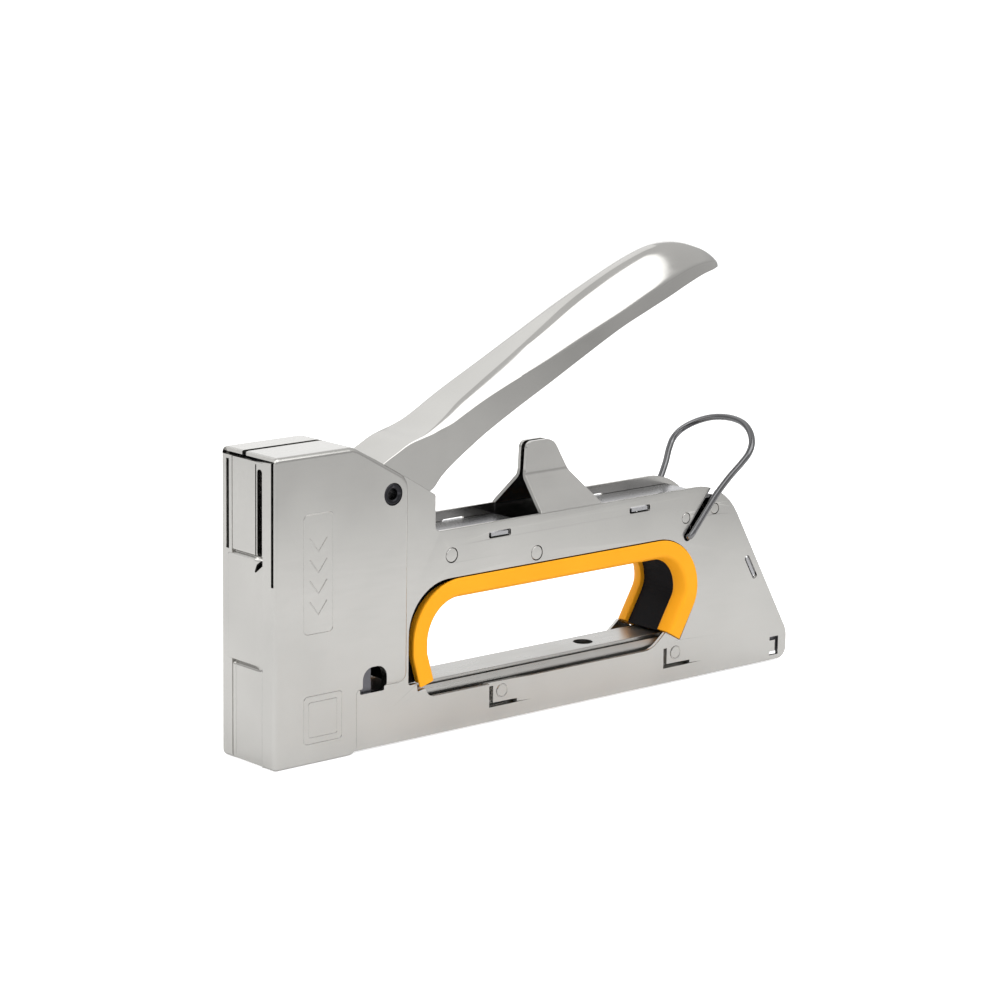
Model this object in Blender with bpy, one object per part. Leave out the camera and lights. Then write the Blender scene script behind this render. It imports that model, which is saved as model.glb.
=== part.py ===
"""Hand staple gun with a folding handle, a wire bail and a magazine drawer.

Every size below is in millimetres. The nose is at x = 0 and the rear end at x = BODY_LENGTH.
The user's left side is -Y. The root empty then moves the whole gun so that the origin is under its middle.
"""

import math

import bmesh
import bpy
from mathutils import Matrix, Vector

MM = 0.001

# Body
BODY_LENGTH = 170.0
NOSE_HEIGHT = 74.3
NOSE_HALF = 10.3               # outside of the raised nose walls
PLATE_HALF = 9.3               # outside of the flat side plates
SHEET = 1.0
PLATE_INNER = PLATE_HALF - SHEET
PLATE_BOTTOM = 0.6
TOP_EDGE = 50.6
TOP_SEAM = 2.0                 # the seam between the two top flanges lies at this y

# Joint axes
HANDLE_AXIS = (35.1, 0.0, 61.7)
BAIL_AXIS = (132.8, 0.0, 38.2)
LATCH_X = 153.0
LATCH_Y = 7.6

# Pins, all flush with the side plates
PIN_CLEARANCE = 0.12
PIVOT_RADIUS = 2.6
GRIP_PINS = ((54.2, 44.2), (81.5, 41.0))
REAR_RIVETS = ((132.2, 43.0), (142.4, 44.2))
GRIP_PIN_RADIUS = 1.5
RIVET_RADIUS = 1.0
BLOCK_PIN = (12.0, 21.0)

# Tabs of the inner plates, in slots of the shells: centre, and tilt of the long side
TAB_LONG = 5.4
TAB_THICK = 0.9
TAB_SLOT_LONG = 7.0
TAB_SLOT_WIDE = 1.6
TAB_PLACES = ((69.4, 47.5, 0.0), (115.9, 47.5, 0.0), (156.1, 26.9, -60.0))

# Grip
CORE_BAND = 4.1
CORE_HALF = 5.7

# Bail
BAIL_WIRE = 0.75
BAIL_HALF = 10.25
BAIL_REACH = 37.6
BAIL_TILT = 48.5

# Magazine
RAIL_TOP = 12.9
RAIL_HALF = 5.1
RAIL_WALL_HALF = 6.9
MAGAZINE_FRONT = 4.6
MAGAZINE_REAR = 155.5

CHROME = ("bright_steel", (0.60, 0.59, 0.57), 0.22, 1.0)
DARK_STEEL = ("dark_steel", (0.12, 0.12, 0.13), 0.35, 1.0)
SPRING_STEEL = ("spring_steel", (0.35, 0.35, 0.36), 0.3, 1.0)
BLACK_METAL = ("black_metal", (0.02, 0.02, 0.02), 0.4, 1.0)
ORANGE = ("orange_plastic", (0.95, 0.42, 0.03), 0.5, 0.0)
BLACK = ("black_plastic", (0.015, 0.015, 0.017), 0.55, 0.0)
STAPLE = ("staple_wire", (0.7, 0.7, 0.68), 0.3, 1.0)


# ---------------------------------------------------------------- scene set-up

def clear_scene():
    for old in list(bpy.data.objects):
        bpy.data.objects.remove(old, do_unlink=True)


def new_collection(name):
    group = bpy.data.collections.new(name)
    bpy.context.scene.collection.children.link(group)
    return group


def empty(name, place, parent=None):
    axis = bpy.data.objects.new(name, None)
    PARTS.objects.link(axis)
    axis.parent = parent
    axis.location = [value * MM for value in place]
    axis["place"] = list(place)
    return axis


def paint(body, look):
    name, colour, roughness, metallic = look
    material = bpy.data.materials.get(name) or bpy.data.materials.new(name)
    material.use_nodes = True
    shader = material.node_tree.nodes["Principled BSDF"]
    shader.inputs["Base Color"].default_value = (*colour, 1.0)
    shader.inputs["Roughness"].default_value = roughness
    shader.inputs["Metallic"].default_value = metallic
    body.data.materials.clear()
    body.data.materials.append(material)


def part(body, look, moves_with=None):
    """Make a solid a sub-part: give it its material and the frame that it moves with."""
    paint(body, look)
    if moves_with:
        place = Vector(moves_with["place"]) * MM
        body.data.transform(Matrix.Translation(-place))
        body.parent = moves_with
    return body


def cut(body, *cutters):
    for cutter in cutters:
        modifier = body.modifiers.new("cut_" + cutter.name, "BOOLEAN")
        modifier.operation = "DIFFERENCE"
        modifier.object = cutter
        hide(cutter)
    return body


def join(body, *others):
    for other in others:
        modifier = body.modifiers.new("join_" + other.name, "BOOLEAN")
        modifier.operation = "UNION"
        modifier.object = other
        hide(other)
    return body


def keep_inside(body, limit):
    modifier = body.modifiers.new("keep_" + limit.name, "BOOLEAN")
    modifier.operation = "INTERSECT"
    modifier.object = limit
    hide(limit)
    return body


def hide(cutter):
    if cutter.name in PARTS.objects:
        PARTS.objects.unlink(cutter)
        CUTTERS.objects.link(cutter)
    cutter.hide_render = True
    cutter.display_type = "WIRE"


def settle(body):
    """Put the result of a body's modifiers into its mesh, so that it can join a moving frame."""
    graph = bpy.context.evaluated_depsgraph_get()
    result = bpy.data.meshes.new_from_object(body.evaluated_get(graph))
    body.modifiers.clear()
    body.data = result
    return body


# ---------------------------------------------------------------- outlines

def arc_steps(angle, radius):
    return max(2, round(abs(angle) / math.radians(24.0 if radius < 4 else 11.0)))


def rounded(corners, closed=True):
    """Points along an outline whose corners are (x, z, radius)."""
    points = []
    count = len(corners)
    for index, (x, z, radius) in enumerate(corners):
        is_end = not closed and index in (0, count - 1)
        corner = Vector((x, z))
        if radius == 0 or is_end:
            points.append(corner)
            continue
        before = (Vector(corners[index - 1][:2]) - corner).normalized()
        after = (Vector(corners[(index + 1) % count][:2]) - corner).normalized()
        half_angle = before.angle(after) / 2
        centre = corner + (before + after).normalized() * (radius / math.sin(half_angle))
        start = corner + before * (radius / math.tan(half_angle)) - centre
        turn = math.pi - 2 * half_angle
        if before.cross(after) > 0:
            turn = -turn
        steps = arc_steps(turn, radius)
        for step in range(steps + 1):
            points.append(centre + Matrix.Rotation(turn * step / steps, 2) @ start)
    return points


def beside(path, distance):
    """A path moved sideways to its left by a distance."""
    moved = []
    last = len(path) - 1
    for index, point in enumerate(path):
        back = (point - path[max(index - 1, 0)]).normalized()
        ahead = (path[min(index + 1, last)] - point).normalized()
        along = (back + ahead).normalized()
        stretch = 1.0
        if 0 < index < last:
            stretch = 1 / max(0.3, along.dot(ahead))
        moved.append(point + Vector((-along.y, along.x)) * distance * stretch)
    return moved


def band(path, inner, outer):
    """A closed outline between two paths beside the given one."""
    return beside(path, inner) + beside(path, outer)[::-1]


def circle(x, z, radius, sides=24):
    return [Vector((x + radius * math.cos(math.tau * k / sides), z + radius * math.sin(math.tau * k / sides)))
            for k in range(sides)]


def slot_outline(x, z, length, width, tilt=0.0):
    turn = Matrix.Rotation(math.radians(tilt), 2)
    corners = ((-1, -1), (1, -1), (1, 1), (-1, 1))
    centre = Vector((x, z))
    return [centre + turn @ Vector((length / 2 * a, width / 2 * b)) for a, b in corners]


# ---------------------------------------------------------------- solids

def flat_curve(name, outlines, thickness):
    curve = bpy.data.curves.new(name, "CURVE")
    curve.dimensions = "2D"
    curve.fill_mode = "BOTH"
    curve.extrude = thickness / 2 * MM
    for outline in outlines:
        spline = curve.splines.new("POLY")
        spline.points.add(len(outline) - 1)
        for target, point in zip(spline.points, outline):
            target.co = (point[0] * MM, point[1] * MM, 0.0, 1.0)
        spline.use_cyclic_u = True
    return curve


def to_mesh(name, curve, matrix):
    """Turn a curve into a closed mesh object that stands where the matrix puts it."""
    shape = bpy.data.objects.new(name + "_curve", curve)
    PARTS.objects.link(shape)
    graph = bpy.context.evaluated_depsgraph_get()
    mesh = bpy.data.meshes.new_from_object(shape.evaluated_get(graph))
    bpy.data.objects.remove(shape, do_unlink=True)
    mesh.transform(matrix)
    weld = bmesh.new()
    weld.from_mesh(mesh)
    bmesh.ops.remove_doubles(weld, verts=weld.verts, dist=1e-6)
    bmesh.ops.recalc_face_normals(weld, faces=weld.faces)
    weld.to_mesh(mesh)
    weld.free()
    return add(name, mesh)


def add(name, mesh):
    mesh.name = name
    body = bpy.data.objects.new(name, mesh)
    PARTS.objects.link(body)
    body.parent = ROOT
    return body


def plate(name, outline, y_near, y_far, holes=()):
    """A flat piece: an outline in x and z, between two values of y."""
    low, high = sorted((y_near, y_far))
    curve = flat_curve(name, (outline, *holes), high - low)
    stand = Matrix.Translation((0, (low + high) / 2 * MM, 0)) @ Matrix.Rotation(math.pi / 2, 4, "X")
    return to_mesh(name, curve, stand)


def bar(name, outline, x_front, x_rear):
    """A straight section: an outline in y and z, between two values of x."""
    curve = flat_curve(name, (outline,), x_rear - x_front)
    lie = Matrix(((0, 0, 1, 0), (1, 0, 0, 0), (0, 1, 0, 0), (0, 0, 0, 1)))
    middle = Matrix.Translation(((x_front + x_rear) / 2 * MM, 0, 0))
    return to_mesh(name, curve, middle @ lie)


def box(name, x_span, y_span, z_span):
    shape = bmesh.new()
    bmesh.ops.create_cube(shape, size=1.0)
    spans = (sorted(x_span), sorted(y_span), sorted(z_span))
    size = [(high - low) * MM for low, high in spans]
    middle = [(high + low) / 2 * MM for low, high in spans]
    bmesh.ops.transform(shape, matrix=Matrix.Translation(middle) @ Matrix.Diagonal((*size, 1)), verts=shape.verts)
    mesh = bpy.data.meshes.new(name)
    shape.to_mesh(mesh)
    shape.free()
    return add(name, mesh)


def rod(name, start, end, radius, sides=24, end_radius=None):
    """A round bar from one point to another."""
    start = Vector(start)
    end = Vector(end)
    shape = bmesh.new()
    end_radius = radius if end_radius is None else end_radius
    bmesh.ops.create_cone(shape, cap_ends=True, segments=sides, radius1=radius * MM,
                          radius2=end_radius * MM, depth=(end - start).length * MM)
    turn = (end - start).to_track_quat("Z", "Y").to_matrix().to_4x4()
    middle = Matrix.Translation((start + end) / 2 * MM)
    bmesh.ops.transform(shape, matrix=middle @ turn, verts=shape.verts)
    mesh = bpy.data.meshes.new(name)
    shape.to_mesh(mesh)
    shape.free()
    mesh.shade_smooth()
    mesh.set_sharp_from_angle(angle=math.radians(40))
    return add(name, mesh)


def cross_rod(name, place, y_near, y_far, radius, sides=24):
    """A round bar along y at a place (x, z)."""
    low, high = sorted((y_near, y_far))
    return rod(name, (place[0], low, place[1]), (place[0], high, place[1]), radius, sides)


def bridge(shape, rings):
    """Join rings of points into one closed skin with faces at both ends."""
    for ring, following in zip(rings, rings[1:]):
        count = len(ring)
        for index in range(count):
            ahead = (index + 1) % count
            shape.faces.new((ring[index], ring[ahead], following[ahead], following[index]))
    ends = [shape.faces.new(rings[0]), shape.faces.new(rings[-1])]
    bmesh.ops.poke(shape, faces=ends)
    bmesh.ops.triangulate(shape, faces=shape.faces)
    bmesh.ops.recalc_face_normals(shape, faces=shape.faces)


def wire(name, points, radius, resolution=1):
    """A bent wire through the given points."""
    curve = bpy.data.curves.new(name, "CURVE")
    curve.dimensions = "3D"
    curve.bevel_depth = radius * MM
    curve.bevel_resolution = resolution
    curve.use_fill_caps = True
    spline = curve.splines.new("POLY")
    spline.points.add(len(points) - 1)
    for target, point in zip(spline.points, points):
        target.co = (point[0] * MM, point[1] * MM, point[2] * MM, 1.0)
    return to_mesh(name, curve, Matrix.Identity(4))


def smooth_path(points, steps=4):
    """Points along a smooth curve through the given ones."""
    path = []
    last = len(points) - 1
    for index in range(last):
        a, b, c, d = (Vector(points[max(0, min(last, index + k))]) for k in (-1, 0, 1, 2))
        for step in range(steps):
            t = step / steps
            path.append(b + (c - a) * t / 2 + (2 * a - 5 * b + 4 * c - d) * t ** 2 / 2
                        + (3 * b - a - 3 * c + d) * t ** 3 / 2)
    path.append(Vector(points[-1]))
    return path


def coil(centre, axis, radius, turns, length, per_turn=10):
    """Points of a helix that starts at a centre point and runs along an axis letter."""
    points = []
    total = round(turns * per_turn)
    for step in range(total + 1):
        angle = math.tau * step / per_turn
        along = length * step / total
        around = (radius * math.cos(angle), radius * math.sin(angle))
        local = {"X": (along, *around), "Y": (around[0], along, around[1]), "Z": (*around, along)}[axis]
        points.append(Vector(centre) + Vector(local))
    return points


# ---------------------------------------------------------------- shells

NOSE_OUTLINE = ((0, 0, 0.8), (25, 0, 2.5), (25, 15.3, 0.6), (40, 15.3, 2.5), (40, 65, 4.5),
                (28, 71.8, 8), (23.5, NOSE_HEIGHT, 6), (0, NOSE_HEIGHT, 1.2))
PLATE_OUTLINE = ((21, PLATE_BOTTOM, 0), (BODY_LENGTH, PLATE_BOTTOM, 3), (BODY_LENGTH, 8, 6), (145.6, TOP_EDGE, 17),
                 (49, TOP_EDGE, 1.6), (49, 59.7, 0.8), (39.4, 65.4, 1), (21, 65.4, 0))
OPENING_OUTLINE = ((41, 14.1, 0.6), (41, 38.9, 11), (136.5, 38.9, 13.8), (136.7, 21.8, 10),
                   (130.8, 10.7, 0.3), (126.2, 13.2, 1), (121, 10.2, 7), (47.6, 10.2, 2.5),
                   (46.2, 12.6, 0.3), (43.8, 12.1, 0.3), (43.7, 14.1, 0.2))
TRIM_PATH = ((44.2, 13.0, 0), (42.0, 20.5, 8), (41.9, 38.6, 15), (136.2, 38.6, 13.5),
             (136.3, 22.0, 10), (130.2, 11.6, 0))
# Section of a trim: depth into the opening, and distance from the middle plane. Its inner face is crowned.
TRIM_SECTION = ((0, 6.0), (0, 9.4), (0.5, 9.9), (4.1, 9.9), (4.8, 9.6), (5.4, 8.4), (5.8, 7.2), (5.9, 6.4),
                (5.5, 6.0))
TOP_FLANGE_PATH = ((1.5, NOSE_HEIGHT, 0), (23.5, NOSE_HEIGHT, 6), (26.5, 72.7, 0))
EAR_OUTLINE = ((82.8, 45, 0), (82.8, 50.6, 0), (84.2, 60, 6), (84.6, 67.1, 1.8), (93.2, 67.1, 4.2),
               (97.2, 60.4, 5), (103, 50.6, 0), (103, 45, 0))
WINDOW_OUTLINE = ((26.2, 14.2, 0.4), (33.5, 14.2, 0.4), (33.5, 20.8, 3), (26.2, 20.8, 3))
# Front, start of the ramp, rear, lower edge, upper edge, and top of the bump behind it
POCKETS = ((66.6, 74.5, 82.2, 4.2, 10.2, 10.19), (125.3, 133.5, 140.6, 4.5, 10.4, 11.2))
CATCH_OUTLINE = ((163.9, 1.9), (167.0, 1.9), (167.0, 6.8), (163.9, 6.8), (163.9, 5.9), (165.9, 5.9), (165.9, 2.8),
                 (163.9, 2.8))
SEAM_GAP = 0.5


def y_side(side, *distances):
    return [side * distance for distance in distances]


def ear(name, side):
    """The thumb fin: it leans from the side plate to the middle and then stands upright."""
    path = rounded([(-PLATE_HALF, 47, 0), (-PLATE_HALF, 50.8, 1.6), (-1.6, 59.6, 2.6), (-1.6, 70, 0)], closed=False)
    section = [Vector((point.x * -side, point.y)) for point in band(path, 0, -SHEET)]
    fin = bar(name, section, 82, 104)
    limit = plate(name + "_limit", rounded(EAR_OUTLINE), *y_side(side, 0.2, 12))
    return keep_inside(fin, limit)


def pocket(shell, name, side, spans):
    """A rectangle pressed inwards, flat at the front and ramped out at the back."""
    front, ramp, rear, low, high, bump_top = spans
    depth = 0.7
    bump = [(front - 0.9, PLATE_INNER + 0.2), (front - 0.9, PLATE_INNER - depth), (ramp + 0.9, PLATE_INNER - depth),
            (rear, PLATE_INNER + 0.2)]
    dent = [(front, PLATE_HALF + 1), (front, PLATE_HALF - depth), (ramp, PLATE_HALF - depth), (rear, PLATE_HALF + 1)]
    join(shell, wedge(name + "bump", bump, side, low - 0.9, bump_top))
    cut(shell, wedge(name + "dent", dent, side, low, high + 0.02))


def wedge(name, outline, side, low, high):
    """An outline in x and y, between two heights."""
    curve = flat_curve(name, ([Vector((x, y * side)) for x, y in outline],), high - low)
    return to_mesh(name, curve, Matrix.Translation((0, 0, (low + high) / 2 * MM)))


def shell_holes(side):
    """Cutters for every hole through a shell."""
    outer = (7.0, 12.0)
    holes = [cross_rod("pivot_hole", HANDLE_AXIS[::2], *y_side(side, *outer), PIVOT_RADIUS + PIN_CLEARANCE, 32)]
    for place in GRIP_PINS:
        holes.append(cross_rod("grip_pin_hole", place, *y_side(side, *outer), GRIP_PIN_RADIUS + PIN_CLEARANCE))
    for place in REAR_RIVETS:
        holes.append(cross_rod("rivet_hole", place, *y_side(side, *outer), RIVET_RADIUS + PIN_CLEARANCE, 16))
    for x, z, tilt in TAB_PLACES:
        outline = slot_outline(x, z, TAB_SLOT_LONG, TAB_SLOT_WIDE, tilt)
        holes.append(plate("tab_slot", outline, *y_side(side, *outer)))
    along = Vector((math.cos(math.radians(50.5)), math.sin(math.radians(50.5))))
    middle = Vector((BAIL_AXIS[0], BAIL_AXIS[2])) + along * 8.7
    bail_slot = rounded([(*point, 1.0) for point in slot_outline(middle.x, middle.y, 20, 2.2, 50.5)])
    holes.append(plate("bail_slot", bail_slot, *y_side(side, *outer)))
    holes.append(plate("window", rounded(WINDOW_OUTLINE), *y_side(side, *outer)))
    holes.append(plate("catch_cut", [Vector(point) for point in CATCH_OUTLINE], *y_side(side, *outer)))
    return holes


def shell(name, side):
    outline = rounded(NOSE_OUTLINE)
    body = plate(name, outline, *y_side(side, NOSE_HALF, NOSE_HALF - 1.1))
    side_plate = plate(name + "_plate", rounded(PLATE_OUTLINE), *y_side(side, PLATE_HALF, PLATE_INNER),
                       holes=(rounded(OPENING_OUTLINE),))
    flange = box(name + "_front_flange", (0, 1.1), y_side(side, NOSE_HALF - 0.001, 6.3), (0.3, 72.4))
    path = rounded(TOP_FLANGE_PATH, closed=False)
    seam = TOP_SEAM + side * SEAM_GAP
    top = plate(name + "_top_flange", band(path, 0, -1.1), seam, side * (NOSE_HALF - 0.001))
    join(body, side_plate, flange, top, ear(name + "_ear", side))
    for index, spans in enumerate(POCKETS):
        pocket(body, name + "_pocket_%d_" % index, side, spans)
    slit_outer = 9.9 if side < 0 else 7.8
    slit = box(name + "_slit", (-1, 1.6), y_side(side, slit_outer, slit_outer - 0.9), (51, 71.8))
    cut(body, slit, *shell_holes(side))
    return part(body, CHROME)


# ---------------------------------------------------------------- nose and its inner pieces

def nose_plate():
    """The panel between the front flanges, with two slits beside its upper tongue and a sunk lower panel."""
    body = box("nose_plate", (0.2, 1.4), (-6.0, 6.0), (0.3, 72.4))
    cuts = [box("nose_slit_near", (-1, 3), (-5.4, -4.5), (51, 71.8)),
            box("nose_slit_middle", (-1, 3), (-3.9, -3.1), (51, 71.8)),
            rod("nose_slit_foot", (-1, -4.8, 48.2), (3, -4.8, 48.2), 1.0, 12),
            box("nose_panel", (-1, 0.55), (-5.0, 5.0), (2, 24.5))]
    return part(cut(body, *cuts), CHROME)


def nose_block():
    body = box("nose_block", (3.9, 20), (-8.7, 8.7), (13.4, 29.2))
    hole = cross_rod("block_pin_bore", BLOCK_PIN, -10, 10, 1.5 + PIN_CLEARANCE, 16)
    part(cut(body, hole), DARK_STEEL)
    part(cross_rod("nose_block_pin", BLOCK_PIN, -8.6, 8.6, 1.5, 16), SPRING_STEEL)


def guide_plates():
    for name, side in (("left_guide_plate", -1), ("right_guide_plate", 1)):
        body = box(name, (21, 30.5), y_side(side, 7.1, 7.9), (13.6, 53))
        hole = box(name + "_relief", (24.5, 27.5), y_side(side, 6, 9), (13, 18.5))
        part(cut(body, hole), SPRING_STEEL)


def spring_seat():
    cap = box("spring_cap", (3.6, 14.5), (-7, 7), (71.3, 72.7))
    part(cap, DARK_STEEL)
    part(rod("spring_guide_pin", (9, 0, 59), (9, 0, 71), 2.0, 16), DARK_STEEL)
    bumper = box("striker_bumper", (4.2, 14), (-6, 6), (29.5, 33.7))
    part(bumper, BLACK)


def main_spring():
    points = coil((9, 0, 43.1), "Z", 4.2, 7.5, 27.4, per_turn=12)
    part(wire("main_spring", points, 0.7), SPRING_STEEL)


def striker():
    block = box("striker_block", (3.9, 16.1), (-5, 5), (34, 42))
    column = box("striker_column", (14.4, 16.1), (-3, 3), (41, 62))
    lug = box("striker_lug", (15.5, 20), (-3, 3), (58.6, 62))
    part(settle(join(block, column, lug)), DARK_STEEL, STRIKER_GUIDE)
    blade = box("driver_blade", (2.3, 3.3), (-5.2, 5.2), (0.6, 44))
    part(blade, SPRING_STEEL, STRIKER_GUIDE)


# ---------------------------------------------------------------- handle

# Stations along the handle: x, lower edge, fold, crown, half width of the lower edge, half width of the fold
HANDLE_STATIONS = (
    (28.8, 59.6, 64.2, 64.4, 7.7, 7.3),
    (30.2, 57.4, 65.6, 65.8, 7.7, 7.3),
    (32.2, 55.9, 67.1, 67.3, 7.7, 7.3),
    (35.1, 55.2, 68.8, 69.0, 7.7, 7.3),
    (38.4, 55.9, 70.4, 70.6, 7.7, 7.3),
    (42.5, 57.8, 72.3, 72.6, 7.7, 7.3),
    (47.0, 59.9, 73.4, 73.9, 7.7, 7.3),
    (49.6, 60.9, 74.0, 74.9, 7.7, 7.3),
    (52.0, 63.6, 74.8, 76.1, 7.8, 7.3),
    (55.4, 66.3, 76.0, 78.1, 8.0, 7.4),
    (59.5, 69.0, 77.7, 80.7, 8.2, 7.5),
    (66.0, 72.9, 80.4, 84.2, 8.5, 7.6),
    (75.5, 77.9, 83.9, 89.2, 8.8, 7.8),
    (86.0, 83.0, 87.5, 94.9, 9.0, 7.9),
    (97.0, 88.4, 91.4, 100.8, 9.1, 7.9),
    (108.6, 94.0, 95.8, 106.2, 9.1, 8.0),
    (118.0, 97.7, 99.8, 110.0, 9.0, 7.9),
    (126.0, 100.6, 103.2, 112.4, 8.7, 7.5),
    (133.0, 103.1, 106.2, 112.9, 8.1, 6.8),
    (139.0, 104.8, 107.5, 111.7, 7.0, 5.8),
    (144.0, 105.4, 107.3, 109.6, 5.2, 4.2),
    (147.2, 105.6, 106.5, 107.2, 3.2, 2.6),
    (148.6, 105.3, 105.6, 105.9, 1.4, 1.1),
)
CROWN_STEPS = 5
HANDLE_SHEET = 1.1
HOLLOW_END = 141.0


def handle_ring(station, inset):
    """One cross-section of the handle: up one cheek, over the crown and down the other."""
    x, lower, fold, crown, lower_half, fold_half = station
    half = fold_half - inset
    drop = inset * 3
    quarter = []
    for step in range(CROWN_STEPS + 1):
        angle = math.pi / 2 * step / CROWN_STEPS
        quarter.append((half * math.cos(angle), fold - inset + (crown - fold) * math.sin(angle)))
    right = [(lower_half - inset, lower - drop), *quarter]
    left = [(-y, z) for y, z in right[-2::-1]]
    return [Vector((x, y, z)) * MM for y, z in right + left]


def handle_loft(name, stations, inset):
    """Bridge the cross-sections into a closed solid."""
    shape = bmesh.new()
    rings = [[shape.verts.new(point) for point in handle_ring(station, inset)] for station in stations]
    bridge(shape, rings)
    mesh = bpy.data.meshes.new(name)
    shape.to_mesh(mesh)
    shape.free()
    mesh.shade_smooth()
    mesh.set_sharp_from_angle(angle=math.radians(50))
    return add(name, mesh)


def handle():
    body = handle_loft("handle", HANDLE_STATIONS, 0)
    inner = [station for station in HANDLE_STATIONS if station[0] < HOLLOW_END]
    first = (HANDLE_STATIONS[0][0] - 4, *HANDLE_STATIONS[0][1:])
    hollow = handle_loft("handle_hollow", (first, *inner), HANDLE_SHEET)
    pivot = cross_rod("handle_bore", HANDLE_AXIS[::2], -12, 12, PIVOT_RADIUS + PIN_CLEARANCE, 32)
    part(settle(cut(body, hollow, pivot)), CHROME, HANDLE_PIVOT)


def lifter_arm():
    """The arm on the pivot that raises the striker when the handle closes."""
    pivot_x, _, pivot_z = HANDLE_AXIS
    outline = rounded([(18.4, 55.9, 1.0), (20.4, 55.4, 1.0), (30.5, 56.6, 3), (36, 56.4, 4), (41, 59.5, 3),
                       (57, 70.5, 2), (56.2, 74.2, 1), (47.5, 71.2, 3), (37.5, 67.3, 4), (30, 63.5, 4),
                       (20.8, 58.3, 0.8), (17.45, 58.3, 0.8)])
    bore = circle(pivot_x, pivot_z, PIVOT_RADIUS + PIN_CLEARANCE, 32)
    arm = plate("lifter_arm", outline, -1.5, 1.5, holes=(bore,))
    part(arm, DARK_STEEL, HANDLE_PIVOT)
    for name, side in (("left_lifter_spacer", -1), ("right_lifter_spacer", 1)):
        ring = circle(pivot_x, pivot_z, 3.5)
        bore = circle(pivot_x, pivot_z, PIVOT_RADIUS + PIN_CLEARANCE, 24)
        spacer = plate(name, ring, *y_side(side, 1.8, 6.0), holes=(bore,))
        part(spacer, DARK_STEEL, HANDLE_PIVOT)


def pivot_pin():
    pin = cross_rod("handle_pivot_pin", HANDLE_AXIS[::2], -10.4, 10.4, PIVOT_RADIUS, 32)
    bore = cross_rod("pivot_pin_bore", HANDLE_AXIS[::2], -12, 12, 1.4, 16)
    part(cut(pin, bore), BLACK_METAL)


def return_spring():
    """A torsion spring around the left spacer, with one leg resting on the front bridge."""
    pivot = Vector(HANDLE_AXIS)
    turns = coil((pivot.x, -5.1, pivot.z), "Y", 4.0, 2.75, 2.9, per_turn=12)
    leg_start = turns[0] + Vector((0.6, -0.1, -3.0))
    path = [Vector((50.8, -5.3, 49.2)), Vector((41.5, -5.3, 54.8)), leg_start, *turns]
    part(wire("lever_return_spring", path, 0.4), SPRING_STEEL)


# ---------------------------------------------------------------- bridge, spine and pins

def tabbed(name, body, places):
    """Add to an inner plate the tabs that sit in the slots of both shells."""
    for index, (x, z, tilt) in enumerate(places):
        outline = slot_outline(x, z, TAB_LONG, TAB_THICK, tilt)
        join(body, plate("%s_tab_%d" % (name, index), outline, -PLATE_HALF + 0.2, PLATE_HALF - 0.2))
    return part(body, SPRING_STEEL)


def bridge_and_spine():
    low = TAB_PLACES[0][1] - TAB_THICK / 2
    high = low + TAB_THICK
    bridge = box("front_bridge", (51.5, 82), (-8, 8), (low, high))
    tabbed("front_bridge", bridge, TAB_PLACES[:1])
    path = rounded([(104, high, 0), (144.4, high, 6), (162.7, 16.7, 0)], closed=False)
    spine = plate("spine_plate", band(path, 0, -TAB_THICK), -8, 8)
    tabbed("spine_plate", spine, TAB_PLACES[1:])


def side_pins():
    for name, place in zip(("front_grip_pin", "rear_grip_pin"), GRIP_PINS):
        part(cross_rod(name, place, -PLATE_HALF, PLATE_HALF, GRIP_PIN_RADIUS), CHROME)
    for name, place in zip(("front_rivet", "rear_rivet"), REAR_RIVETS):
        part(cross_rod(name, place, -PLATE_HALF, PLATE_HALF, RIVET_RADIUS, 16), CHROME)


# ---------------------------------------------------------------- grip

def swept(name, path, section):
    """A section of (depth, y) carried along a path in x and z; depth is measured to the path's right."""
    lines = [(beside(path, -depth), y) for depth, y in section]
    shape = bmesh.new()
    rings = [[shape.verts.new(Vector((line[index].x, y, line[index].y)) * MM) for line, y in lines]
             for index in range(len(path))]
    bridge(shape, rings)
    mesh = bpy.data.meshes.new(name)
    shape.to_mesh(mesh)
    shape.free()
    return add(name, mesh)


def grip():
    path = rounded(TRIM_PATH, closed=False)
    inner_core = plate("grip_core", band(path, 2.6, -CORE_BAND), -CORE_HALF, CORE_HALF)
    saddle = plate("grip_core_saddle", band(path[2:-2], 2.3, 0.4), -7.9, 7.9)
    core = join(inner_core, saddle)
    cuts = [cross_rod("core_pin_hole", GRIP_PINS[1], -12, 12, GRIP_PIN_RADIUS + PIN_CLEARANCE)]
    cuts.append(box("core_magazine_relief", (38, 135), (-8.5, 8.5), (0, 13.4)))
    cuts.append(box("core_guide_relief", (30, 38.6), (-8.5, 8.5), (0, 60)))
    part(cut(core, *cuts), BLACK)
    for name, side in (("left_grip_trim", -1), ("right_grip_trim", 1)):
        section = [(depth, side * y) for depth, y in TRIM_SECTION]
        part(swept(name, path, section), ORANGE)


# ---------------------------------------------------------------- bail

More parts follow.
